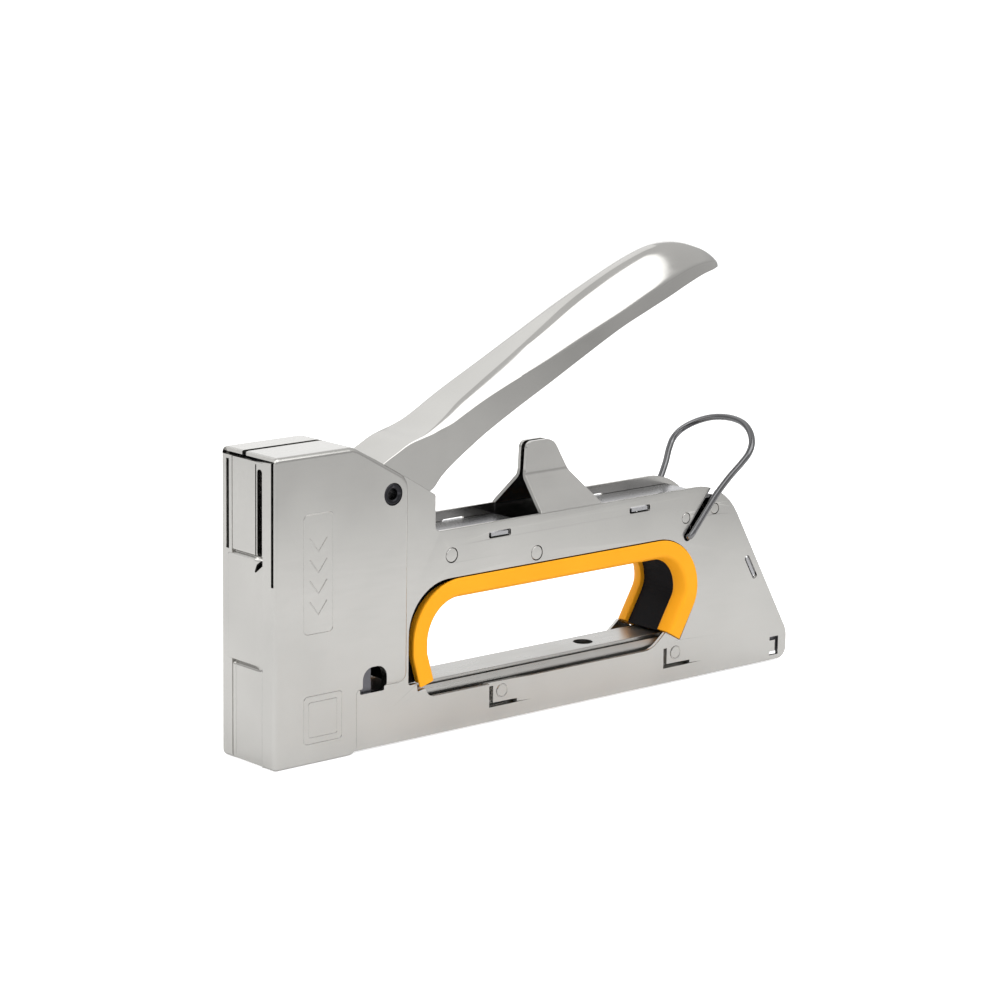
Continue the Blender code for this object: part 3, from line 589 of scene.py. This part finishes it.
def nose_wall(name, side):
    """The raised nose: one sheet folded over the front and the top, opened where the other pieces show."""
    body = plate(name, [rounded(NOSE_OUTLINE)], -NOSE_HALF, NOSE_HALF, FOLD, 5)
    inside = [Vector(point) for point in NOSE_HOLLOW]
    hollow = plate("hollow", [inside], *sides(side, -12, NOSE_HALF - WALL))
    seam = TOP_SEAM + side * SEAM_GAP
    other_half = block("other_half", (-2, 45), (seam, -side * 13), (-2, 80))
    front = block("front", (-2, 1.2), sides(side, -12, FLANGE_INNER_Y), (-2, FLANGE_TOP))
    top_gap = bar("top_gap", [Vector(point) for point in TOP_GAP], -2, 1.7)
    top_front = block("top_front", (-2, 0.7), (-9.7, 9.5), (TOP_UNDERSIDE, 76))
    if side < 0:
        slit = block("slit", (-1, 1.7), (-9.8, -9.1), (44, 73.2))
    else:
        slit = block("slit", (-1, 1.7), (7.0, 8.1), (50.5, 71.8))
    return cut(body, hollow, other_half, front, top_gap, top_front, slit, *shared_openings())


def side_plate(name, side):
    """The flat side with its openings, thumb fin and two pressed tabs."""
    holes = [rounded(OPENING_OUTLINE)]
    holes += [circle(*place, GRIP_PIN_HOLE) for place in GRIP_PINS]
    holes += [circle(*place, RIVET_HOLE, 32) for place in REAR_RIVETS]
    holes += [slot_outline(x, z, *TAB_SLOT, tilt, 0.5) for x, z, tilt in TABS]
    holes.append([Vector(point) for point in CATCH_OUTLINE])
    body = plate(name, [rounded(PLATE_OUTLINE), *holes], *sides(side, PLATE_HALF, PLATE_INNER), RIM)
    slot_angle = math.radians(BAIL_SLOT_ANGLE)
    along = Vector((math.cos(slot_angle), math.sin(slot_angle)))
    reach, length = LEFT_BAIL_SLOT if side < 0 else RIGHT_BAIL_SLOT
    middle = Vector((BAIL_AXIS[0], BAIL_AXIS[2])) + along * reach
    outline = slot_outline(*middle, length, BAIL_SLOT_WIDTH, BAIL_SLOT_ANGLE, 1.2)
    cut(body, plate("bail_slot", [outline], *sides(side, 7, 12)), *shared_openings())
    combine(body, "UNION", [thumb_fin(side)])
    for front, ramp, rear, low, high, bump_top in POCKETS:
        inside = PLATE_INNER - POCKET_DEPTH
        bump = [(front - 0.9, PLATE_INNER + 0.2), (front - 0.9, inside), (ramp + 0.9, inside),
                (rear, PLATE_INNER + 0.2)]
        bottom = PLATE_HALF - POCKET_DEPTH
        dent = [(front, PLATE_HALF + 1), (front, bottom - 0.1), (ramp, bottom + 0.15),
                (rear - 1.6, PLATE_HALF + 0.01), (rear - 1.6, PLATE_HALF + 1)]
        combine(body, "UNION", [wedge("bump", bump, side, low - 0.9, bump_top)])
        cut(body, wedge("dent", dent, side, low, high + 0.02))
        cut(body, block("gap", (front, front + 1.9), sides(side, 6, 12), (low, high - 0.9)))
        cut(body, block("gap", (front, ramp + 1.5), sides(side, 6, 12), (low, low + 0.8)))
    return body


def thumb_fin(side):
    """The fin leans from the side plate to the middle and then stands upright; its edges are rounded."""
    path = rounded(FIN_PATH, closed=False)
    section = [Vector((point.x * -side, point.y)) for point in band(path, 0, -SHEET)]
    fin = bar("fin", section, 80, 106)
    limit = plate("limit", [rounded(FIN_OUTLINE)], *sides(side, 0.1, 12))
    combine(fin, "INTERSECT", [limit])
    soften(fin, 0.3, 3, 50)
    mesh = result_mesh(fin)
    fin.modifiers.clear()
    fin.data = mesh
    return fin


def emboss(side):
    """Raised lines on the nose: a double square, and a plain panel with chevrons that point at the foot."""
    y = side * (NOSE_HALF - 0.08)
    lines = []

    def line(outline, radius=0.2, closed=True):
        points = [(point[0], y, point[1]) for point in outline]
        lines.append(wire("line", points, radius, 2, closed))

    line(rounded([(8.7, 5.1, 1), (20, 5.1, 1), (20, 16.6, 1), (8.7, 16.6, 1)]))
    line(rounded([(10.1, 6.6, 0.5), (18.5, 6.6, 0.5), (18.5, 15.1, 0.5), (10.1, 15.1, 0.5)]), 0.17)
    line(rounded([(8.6, 31.5, 1.2), (17.2, 31.5, 1.2), (17.2, 60, 1.2), (8.6, 60, 1.2)]), 0.17)
    for height in (36.0, 41.0, 46.0, 51.0):
        chevron = ((10.4, height + 3.2), (12.9, height), (15.4, height + 3.2))
        line([Vector(point) for point in chevron], 0.2, False)
    return lines


def pocket_marks(side):
    """A small raised ring on each pressed tab."""
    y = side * (PLATE_HALF - POCKET_DEPTH + 0.03)
    rings = []
    for front, ramp, _, low, high, _ in POCKETS:
        outline = circle((front + ramp) / 2 + 0.8, (low + high) / 2 + 0.5, 1.6, 32)
        rings.append(wire("ring", [(point.x, y, point.y) for point in outline], 0.18, 2, True))
    return rings


def shell(name, side, node):
    pieces = [nose_wall(name + "_nose", side), side_plate(name + "_side", side)]
    body = merge(name, pieces + emboss(side) + pocket_marks(side))
    finish_piece(body, SHELL_STEEL, "frame_body", "shell_steel", node, angle=34)


# ---------------------------------------------------------------- nose plate

def nose_depth(y, z):
    """How far behind the flanges the nose plate lies at a point; a negative value stands proud of them."""
    beyond = abs(y) > FLANGE_INNER_Y
    upper = 0.6 if beyond else 0.10
    lower = 0.6 if beyond else 0.10 + 0.45 * ease(-5.5, -5.0, y) * ease(5.9, 5.6, y)
    inside_middle = ease(-6.0, -2.4, y) * ease(7.65, 7.15, y)
    middle = 0.95 - 1.15 * inside_middle
    edge = 0.5 * ease(24.6, 23.9, z) * ease(23.0, 23.5, z)
    crease = 0.5 * ease(50.7, 50.2, z) * ease(49.6, 49.9, z)
    depth = lower + (middle - lower) * ease(23.2, 24.3, z)
    depth = depth + (upper - depth) * ease(49.7, 50.3, z)
    return depth + crease + edge * inside_middle


def nose_plate():
    """The panel between the front flanges: a sunk lower panel, a proud middle and a tongue with slits."""
    shape = bmesh.new()
    step = 0.3
    low, high, left, right = 0.3, FLANGE_TOP - 0.1, -6.2, 7.6
    rows = round((high - low) / step)
    columns = round((right - left) / step)
    rings = []
    for row in range(rows + 1):
        z = low + (high - low) * row / rows
        across = [left + (right - left) * column / columns for column in range(columns + 1)]
        front = [(nose_depth(y, z), y, z) for y in across]
        back = [(nose_depth(y, z) + 0.9, y, z) for y in across[::-1]]
        rings.append([shape.verts.new(at(*point)) for point in front + back])
    skin_between(shape, rings)
    shape.faces.new(rings[0])
    shape.faces.new(rings[-1])
    body = from_bmesh("nose_plate_skin", shape)
    slot = rounded([(-5.6, 50.4, 0.8), (-3.75, 50.4, 0.8), (-3.75, 71.0, 0.8), (-5.6, 71.0, 0.8)])
    teardrop = rounded([(-5.7, 49.0, 0.5), (-2.7, 45.8, 0.25), (-3.6, 48.5, 0.7), (-4.7, 49.5, 0.5)])
    slit = [Vector(point) for point in ((-3.4, 50.5), (-3.0, 50.5), (-3.0, 72.0), (-3.4, 72.0))]
    cut(body, bar("slot", slot, -3, 5), bar("teardrop", teardrop, -3, 5), bar("slit", slit, -3, 5))
    finish_piece(body, SHELL_STEEL, "frame_body", "shell_steel", "nose_plate", angle=50)


# ---------------------------------------------------------------- handle

# Stations: x, lower edge, fold, crown, half width of the lower edge, half width of the fold
HANDLE_STATIONS = (
    (28.8, 59.6, 64.2, 64.4, 7.70, 7.30),
    (30.2, 57.4, 65.6, 65.8, 7.70, 7.30),
    (32.2, 55.9, 67.1, 67.3, 7.70, 7.30),
    (35.1, 55.2, 68.8, 69.0, 7.70, 7.30),
    (38.4, 55.9, 70.4, 70.6, 7.70, 7.30),
    (42.5, 57.8, 72.3, 72.6, 7.70, 7.30),
    (47.0, 59.9, 73.4, 73.9, 7.70, 7.30),
    (49.6, 60.9, 74.0, 74.9, 7.70, 7.30),
    (52.0, 63.6, 74.8, 76.1, 7.80, 7.30),
    (55.4, 66.3, 76.0, 78.1, 8.00, 7.65),
    (59.5, 69.0, 78.0, 80.7, 8.10, 7.75),
    (66.0, 72.9, 81.0, 84.2, 8.20, 7.85),
    (75.5, 77.9, 84.8, 89.2, 8.40, 8.05),
    (86.0, 83.0, 88.6, 94.9, 8.50, 8.15),
    (97.0, 88.4, 92.9, 100.8, 8.50, 8.15),
    (108.6, 94.0, 97.5, 106.2, 8.60, 8.25),
    (118.0, 97.7, 101.5, 110.0, 8.50, 8.15),
    (126.0, 100.6, 104.4, 112.4, 8.10, 7.75),
    (133.0, 103.1, 106.6, 112.9, 7.40, 7.05),
    (139.0, 104.8, 107.5, 111.7, 6.40, 6.05),
    (144.0, 105.4, 107.3, 109.6, 4.80, 4.45),
    (147.2, 105.6, 106.5, 107.4, 3.00, 2.85),
    (148.6, 105.3, 105.6, 105.9, 1.50, 1.35),
)
FACET_STEPS = 8
TOP_STEPS = 14
LOW_CROWN = (3.0, 1.35, 0.55, 0.95)  # height, slope beside the crease, slope above, share of the crown
HIGH_CROWN = (8.0, 2.1, 1.0, 0.80)
TOP_POWERS = (1.5, 14.0)           # lowest and highest power of the curve over the top
CHEEK_SHARES = (0.0, 0.25, 0.5, 0.75, 0.9)
CREASE_WIDTH = 0.2


def crown_line(half, fold, crown, inset):
    """One half of the crown, from the fold to the middle: a steep side that turns over into a level top."""
    height = ease(LOW_CROWN[0], HIGH_CROWN[0], crown - fold)
    start_slope, end_slope, share = (low + (high - low) * height
                                     for low, high in zip(LOW_CROWN[1:], HIGH_CROWN[1:]))
    half = max(half - inset, 0.05)
    crown = crown - inset
    fold = min(fold - inset * 0.6, crown - 0.02)
    side_width = min(share * (crown - fold) * 2 / (start_slope + end_slope), half * 0.6)
    line = []
    for step in range(FACET_STEPS):
        t = step / FACET_STEPS
        rise = side_width * (start_slope * t - (start_slope - end_slope) * t * t / 2)
        line.append((half - side_width * t, fold + rise))
    shoulder = fold + side_width * (start_slope + end_slope) / 2
    power = end_slope * (half - side_width) / max(crown - shoulder, 0.01)
    power = max(TOP_POWERS[0], min(TOP_POWERS[1], power))
    for step in range(TOP_STEPS + 1):
        t = (step / TOP_STEPS) ** 1.6
        line.append(((half - side_width) * (1 - t), shoulder + (crown - shoulder) * (1 - (1 - t) ** power)))
    return line


def half_section(station, inset):
    """One half of the handle's section, from the lower edge up the cheek and over the crown."""
    _, lower, fold, crown, lower_half, fold_half = station
    line = crown_line(fold_half, fold, crown, inset)
    edge = Vector((max(lower_half - inset, 0.05), lower))
    crease = Vector(line[0])
    below_crease = crease + (edge - crease).normalized() * min(CREASE_WIDTH, (edge - crease).length * 0.05)
    cheek = [tuple(edge.lerp(crease, share)) for share in CHEEK_SHARES]
    return cheek + [tuple(below_crease)] + line


def handle_section(station):
    outer = half_section(station, 0)
    inner = half_section(station, WALL)
    x, lower = station[:2]
    ring = [(x, y, z) for y, z in outer]
    ring += [(x, -y, z) for y, z in outer[-2::-1]]
    ring.append((x, -outer[0][0] + 0.3, lower - 0.22))
    ring += [(x, -y, z) for y, z in inner]
    ring += [(x, y, z) for y, z in inner[-2::-1]]
    ring.append((x, outer[0][0] - 0.3, lower - 0.22))
    return ring


def handle():
    stations = HANDLE_STATIONS
    fine = []
    last = len(stations) - 1
    for index in range(last):
        around = [stations[max(0, min(last, index + k))] for k in (-1, 0, 1, 2)]
        steps = 3 if stations[index + 1][0] - stations[index][0] < 5 else 7
        for step in range(steps):
            fine.append([between(*values, step / steps) for values in zip(*around)])
    fine.append(list(stations[-1]))
    body = loft("handle_skin", [handle_section(station) for station in fine])
    finish_piece(body, HANDLE_STEEL, "handle_body", "handle_steel", "handle", angle=32, weighted=False)


# ---------------------------------------------------------------- pins, trims, bail

def pins():
    heads = (("front_grip_pin", GRIP_PINS[0], GRIP_PIN_RADIUS),
             ("rear_grip_pin", GRIP_PINS[1], GRIP_PIN_RADIUS),
             ("front_rivet", REAR_RIVETS[0], RIVET_RADIUS),
             ("rear_rivet", REAR_RIVETS[1], RIVET_RADIUS))
    for node, place, radius in heads:
        half = [(0.0, 9.26), (radius * 0.6, 9.26), (radius - 0.1, 9.25), (radius, 9.16)]
        profile = [(r, -y) for r, y in half] + [(r, y) for r, y in half[::-1]]
        body = turned(node + "_head", place, profile)
        finish_piece(body, SHELL_STEEL, "frame_body", "shell_steel", node, angle=15)
    lip = [(1.4, 10.1), (1.6, 10.3), (2.0, 10.4), (2.4, 10.36), (2.6, 10.15)]
    bushing = [(radius, -y) for radius, y in lip] + lip[::-1] + [(1.4, -10.1)]
    finish_piece(turned("pivot_bushing", HANDLE_AXIS, bushing, 56), BLACK_OXIDE, "frame_body", "black_pin",
                 "handle_pivot_pin")


def trims():
    path = rounded(TRIM_PATH, closed=False, step_angle=4)
    for name, side, node in (("left_trim_skin", -1, "left_grip_trim"),
                             ("right_trim_skin", 1, "right_grip_trim")):
        lines = [(beside(path, -depth), side * y) for depth, y in TRIM_SECTION]
        rings = [[(line[index].x, y, line[index].y) for line, y in lines] for index in range(len(path))]
        body = loft(name, rings)
        soften(body, 0.25, 2, 60)
        finish_piece(body, ORANGE, "frame_body", "orange_trim", node)


def bail():
    """The spring-wire loop; its two ends turn inwards through the shells."""
    half_loop = ((0, 10.22), (9, 10.22), (14, 10.45), (19, 11.2), (23.2, 12.3), (26.6, 12.8),
                 (29.8, 11.8), (32.8, 9.0), (34.9, 5.0), (35.6, 0))
    spread = (0, 0.1, 0.6, 1.3, 1.9, 2.1, 1.9, 1.3, 0.6, 0)
    tilt = math.radians(BAIL_ANGLE)
    along = Vector((math.cos(tilt), 0, math.sin(tilt)))
    pivot = Vector(BAIL_AXIS)
    loop = [(reach, -half) for reach, half in half_loop]
    loop += [(reach, half + more) for (reach, half), more in zip(half_loop[-2::-1], spread[-2::-1])]
    path = [pivot + along * reach + Vector((0, half, 0)) for reach, half in smooth_path(loop, 10)]
    turn_in = [(-7.6, 0.0), (-9.5, 0.0), (-9.9, 0.08), (-10.14, 0.35)]
    start = [pivot + Vector((0, y, 0)) + along * reach for y, reach in turn_in]
    end = [pivot + Vector((0, -y, 0)) + along * reach for y, reach in turn_in[::-1]]
    body = wire("bail_wire", start + path[2:-2] + end, BAIL_WIRE, 6)
    finish_piece(body, WIRE_STEEL, "bail_body", "wire_steel", "bail", weighted=False)


# ---------------------------------------------------------------- magazine and springs

def magazine_section(is_inside):
    """The outside of the magazine (flat top, grooves, sloped shoulders and walls) or its inside."""
    half = [(6.9, 1.0), (6.9, 10.4), (6.7, 10.9), (5.7, 12.0), (5.68, 12.02), (5.62, 11.0), (4.95, 11.0),
            (4.92, 12.75), (4.85, 12.9)]
    if is_inside:
        half = [(6.0, 1.0), (6.0, 10.0), (5.2, 10.5), (4.4, 10.8), (4.2, 12.0)]
    return [(-y, z) for y, z in half] + [(y, z) for y, z in half[::-1]]


def magazine():
    outline = [Vector(point) for point in magazine_section(False) + magazine_section(True)[::-1]]
    body = bar("magazine_skin", outline, 4.6, 155.5)
    cut(body, wedge("sight_hole", [(point.x, point.y) for point in circle(105.8, 0, 2.5)], 1, 10, 16))
    soften(body, 0.12, 2, 45)
    finish_piece(body, MAGAZINE_STEEL, "frame_body", "magazine_steel", "magazine_channel")


def coil(centre, axis, radius, turns, length, per_turn=20, flat_ends=True):
    """Points of a helix along an axis letter; its end turns lie closer together."""
    points = []
    total = round(turns * per_turn)
    for step in range(total + 1):
        angle = math.tau * step / per_turn
        share = step / total
        if flat_ends:
            share = share - 0.45 * math.sin(math.tau * share) / math.tau / turns * 2
        around = (radius * math.cos(angle), radius * math.sin(angle))
        along = length * share
        local = {"X": (along, *around), "Y": (around[0], along, around[1]), "Z": (*around, along)}[axis]
        points.append(Vector(centre) + Vector(local))
    return points


def springs():
    main = wire("main_spring_coil", coil((9, 0, 43.1), "Z", 4.2, 7.5, 27.4), 0.7, 3)
    finish_piece(main, SPRING_STEEL, "frame_body", "spring_steel", "main_spring", weighted=False)
    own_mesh(main)
    feed = wire("follower_spring_coil", coil((62.9, 0, 5.8), "X", 1.9, 26, 93.6, 14), 0.28, 2)
    finish_piece(feed, SPRING_STEEL, "drawer_body", "spring_steel", "follower_spring", weighted=False)
    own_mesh(feed)
    pivot = Vector((HANDLE_AXIS[0], 0, HANDLE_AXIS[1]))
    turns = coil((pivot.x, -5.1, pivot.z), "Y", 4.0, 2.75, 2.9, 24, False)
    leg = [Vector((50.8, -5.3, 49.2)), Vector((41.5, -5.3, 54.8)), turns[0] + Vector((0.6, -0.1, -3.0))]
    lever = wire("lever_spring_coil", leg + turns, 0.4, 3)
    finish_piece(lever, SPRING_STEEL, "frame_body", "spring_steel", "lever_return_spring", weighted=False)


def staples():
    """A stick of separate staples: each is a crown with two legs, set side by side."""
    shape = bmesh.new()
    pitch = 0.72
    outer = [(-5.3, 4.4), (-5.3, 10.25), (-5.15, 10.4), (5.15, 10.4), (5.3, 10.25), (5.3, 4.4)]
    inner = [(4.75, 4.4), (4.75, 9.85), (-4.75, 9.85), (-4.75, 4.4)]
    outline = outer + inner
    for index in range(62):
        front = 5.3 + pitch * index
        stops = ((front, 0.12), (front + 0.12, 0.0),
                 (front + pitch - 0.16, 0.0), (front + pitch - 0.04, 0.12))
        rings = []
        for x, inset in stops:
            ring = []
            for y, z in outline:
                middle = Vector((0, 7.0))
                away = Vector((y, z)) - middle
                shift = away.normalized() * (-inset if (y, z) in outer else inset)
                ring.append(shape.verts.new(at(x, y + shift.x, z + shift.y)))
            rings.append(ring)
        skin_between(shape, rings)
        shape.faces.new(rings[0])
        shape.faces.new(rings[-1])
    body = from_bmesh("staple_stick", shape)
    finish_piece(body, STAPLE_STEEL, "frame_body", "staple_wire", "staple_strip")


def end_cap():
    """The moulded cap on the drawer, with grip ribs between grooves on its rear face."""
    outline = rounded([(157.7, 1.2, 0.6), (169.2, 1.2, 2.5), (168.2, 10.9, 3), (157.7, 10.9, 0.6)])
    body = plate("end_cap_skin", [outline], -5.9, 5.9, 0.5, 3)
    for height in (3.2, 4.7, 6.2, 7.7):
        cut(body, block("groove", (168.1, 171), (-4.4, 4.4), (height, height + 0.6)))
    finish_piece(body, BLACK_PLASTIC, "drawer_body", "black_plastic", "end_cap")


def carried_over():
    """CAD pieces whose shape is right keep it and get a finished material and softly broken edges."""
    looks = {
        DARK_STEEL: ("nose_block", "left_guide_plate", "right_guide_plate", "spring_cap",
                     "spring_guide_pin", "striker_block", "lifter_arm", "left_lifter_spacer",
                     "right_lifter_spacer", "left_latch", "right_latch", "follower"),
        SPRING_STEEL: ("driver_blade", "front_bridge", "spine_plate", "feed_rail", "guide_rod",
                       "nose_block_pin"),
        BLACK_PLASTIC: ("grip_core", "striker_bumper"),
    }
    for material, names in looks.items():
        for name in names:
            node = NODES[name]
            for place in node.material_slots:
                place.material = material
            soften(node, 0.12, 2, 35)


# ---------------------------------------------------------------- studio

def camera():
    azimuth = math.radians(CAMERA_AZIMUTH)
    elevation = math.radians(CAMERA_ELEVATION)
    back = Vector((math.sin(azimuth) * math.cos(elevation), -math.cos(azimuth) * math.cos(elevation),
                   math.sin(elevation)))
    right = Vector((math.cos(azimuth), math.sin(azimuth), 0))
    up = back.cross(right)
    roll = math.radians(CAMERA_ROLL)
    rolled_right = right * math.cos(roll) + up * math.sin(roll)
    rolled_up = -right * math.sin(roll) + up * math.cos(roll)
    data = bpy.data.cameras.new("camera")
    data.lens = CAMERA_LENS
    data.clip_start = 0.01
    view = bpy.data.objects.new("camera", data)
    bpy.context.scene.collection.objects.link(view)
    turn = Matrix((rolled_right, rolled_up, back)).transposed().to_4x4()
    view.matrix_world = Matrix.Translation(at(*CAMERA_TARGET) + back * CAMERA_DISTANCE * MM) @ turn
    bpy.context.scene.camera = view


def soft_light(name, azimuth, elevation, distance, size, power, aim=(0, 0, 0.055)):
    """A rectangular soft box; azimuth is measured from +X towards +Y."""
    data = bpy.data.lights.new(name, "AREA")
    data.shape = "RECTANGLE"
    data.size, data.size_y = size
    data.energy = power
    lamp = bpy.data.objects.new(name, data)
    bpy.context.scene.collection.objects.link(lamp)
    turn = math.radians(azimuth)
    rise = math.radians(elevation)
    away = Vector((math.cos(turn) * math.cos(rise), math.sin(turn) * math.cos(rise), math.sin(rise)))
    lamp.location = Vector(aim) + away * distance
    lamp.rotation_euler = away.to_track_quat("Z", "Y").to_euler()


def world():
    """A studio room: white to look at; in reflections pale at the zenith and greyer at the horizon."""
    room = bpy.data.worlds.new("studio")
    bpy.context.scene.world = room
    room.use_nodes = True
    tree = room.node_tree
    background = tree.nodes["Background"]
    place = tree.nodes.new("ShaderNodeTexCoord")
    split = tree.nodes.new("ShaderNodeSeparateXYZ")
    ramp = tree.nodes.new("ShaderNodeValToRGB")
    stretch = tree.nodes.new("ShaderNodeMapRange")
    tree.links.new(place.outputs["Generated"], split.inputs["Vector"])
    tree.links.new(split.outputs["Z"], stretch.inputs["Value"])
    stretch.inputs["From Min"].default_value = ROOM_SPAN[0]
    stretch.inputs["From Max"].default_value = ROOM_SPAN[1]
    tree.links.new(stretch.outputs["Result"], ramp.inputs["Fac"])
    for index, (position, level) in enumerate(ROOM_LEVELS):
        stop = ramp.color_ramp.elements[index] if index < 2 else ramp.color_ramp.elements.new(position)
        stop.position = position
        stop.color = (level, level, level * 0.995, 1.0)
    tree.links.new(ramp.outputs["Color"], background.inputs["Color"])
    plain = tree.nodes.new("ShaderNodeBackground")
    plain.inputs["Color"].default_value = (1, 1, 1, 1)
    plain.inputs["Strength"].default_value = 1.0
    path = tree.nodes.new("ShaderNodeLightPath")
    mix = tree.nodes.new("ShaderNodeMixShader")
    tree.links.new(path.outputs["Is Camera Ray"], mix.inputs["Fac"])
    tree.links.new(background.outputs["Background"], mix.inputs[1])
    tree.links.new(plain.outputs["Background"], mix.inputs[2])
    tree.links.new(mix.outputs["Shader"], tree.nodes["World Output"].inputs["Surface"])


def floor():
    mesh = bpy.data.meshes.new("floor")
    shape = bmesh.new()
    bmesh.ops.create_grid(shape, x_segments=1, y_segments=1, size=4)
    shape.to_mesh(mesh)
    shape.free()
    body = new_object("floor", mesh)
    paper = bpy.data.materials.new("white_paper")
    paper.use_nodes = True
    tree = paper.node_tree
    shader = tree.nodes["Principled BSDF"]
    place = tree.nodes.new("ShaderNodeTexCoord")
    reach = tree.nodes.new("ShaderNodeVectorMath")
    reach.operation = "LENGTH"
    # Painted pool of light: the floor's colour is paler near the middle and darker far out
    painted_light_pool = tree.nodes.new("ShaderNodeMapRange")
    painted_light_pool.interpolation_type = "SMOOTHSTEP"
    painted_light_pool.inputs["From Min"].default_value = FLOOR_LIGHT_POOL_REACH[0]
    painted_light_pool.inputs["From Max"].default_value = FLOOR_LIGHT_POOL_REACH[1]
    painted_light_pool.inputs["To Min"].default_value = FLOOR_LIGHT_POOL_NEAR
    painted_light_pool.inputs["To Max"].default_value = FLOOR_LIGHT_POOL_FAR
    shift = tree.nodes.new("ShaderNodeVectorMath")
    shift.operation = "SUBTRACT"
    shift.inputs[1].default_value = FLOOR_LIGHT_POOL_CENTRE
    tree.links.new(place.outputs["Object"], shift.inputs[0])
    tree.links.new(shift.outputs["Vector"], reach.inputs[0])
    tree.links.new(reach.outputs["Value"], painted_light_pool.inputs["Value"])
    tree.links.new(painted_light_pool.outputs["Result"], shader.inputs["Base Color"])
    shader.inputs["Roughness"].default_value = 0.9
    shader.inputs["Specular IOR Level"].default_value = 0.1
    shader.inputs["Emission Color"].default_value = (1, 1, 1, 1)
    path = tree.nodes.new("ShaderNodeLightPath")
    glow = tree.nodes.new("ShaderNodeMapRange")
    glow.inputs["To Min"].default_value = FLOOR_GLOW
    glow.inputs["To Max"].default_value = FLOOR_GLOW_SEEN
    tree.links.new(path.outputs["Is Camera Ray"], glow.inputs["Value"])
    tree.links.new(glow.outputs["Result"], shader.inputs["Emission Strength"])
    body.data.materials.append(paper)


def studio():
    bpy.context.scene.view_settings.view_transform = "Standard"
    world()
    floor()
    for box in SOFT_BOXES:
        soft_light(*box)


shell("left_shell_skin", -1, "left_shell")
shell("right_shell_skin", 1, "right_shell")
nose_plate()
handle()
pins()
trims()
bail()
magazine()
springs()
staples()
end_cap()
carried_over()
camera()
studio()
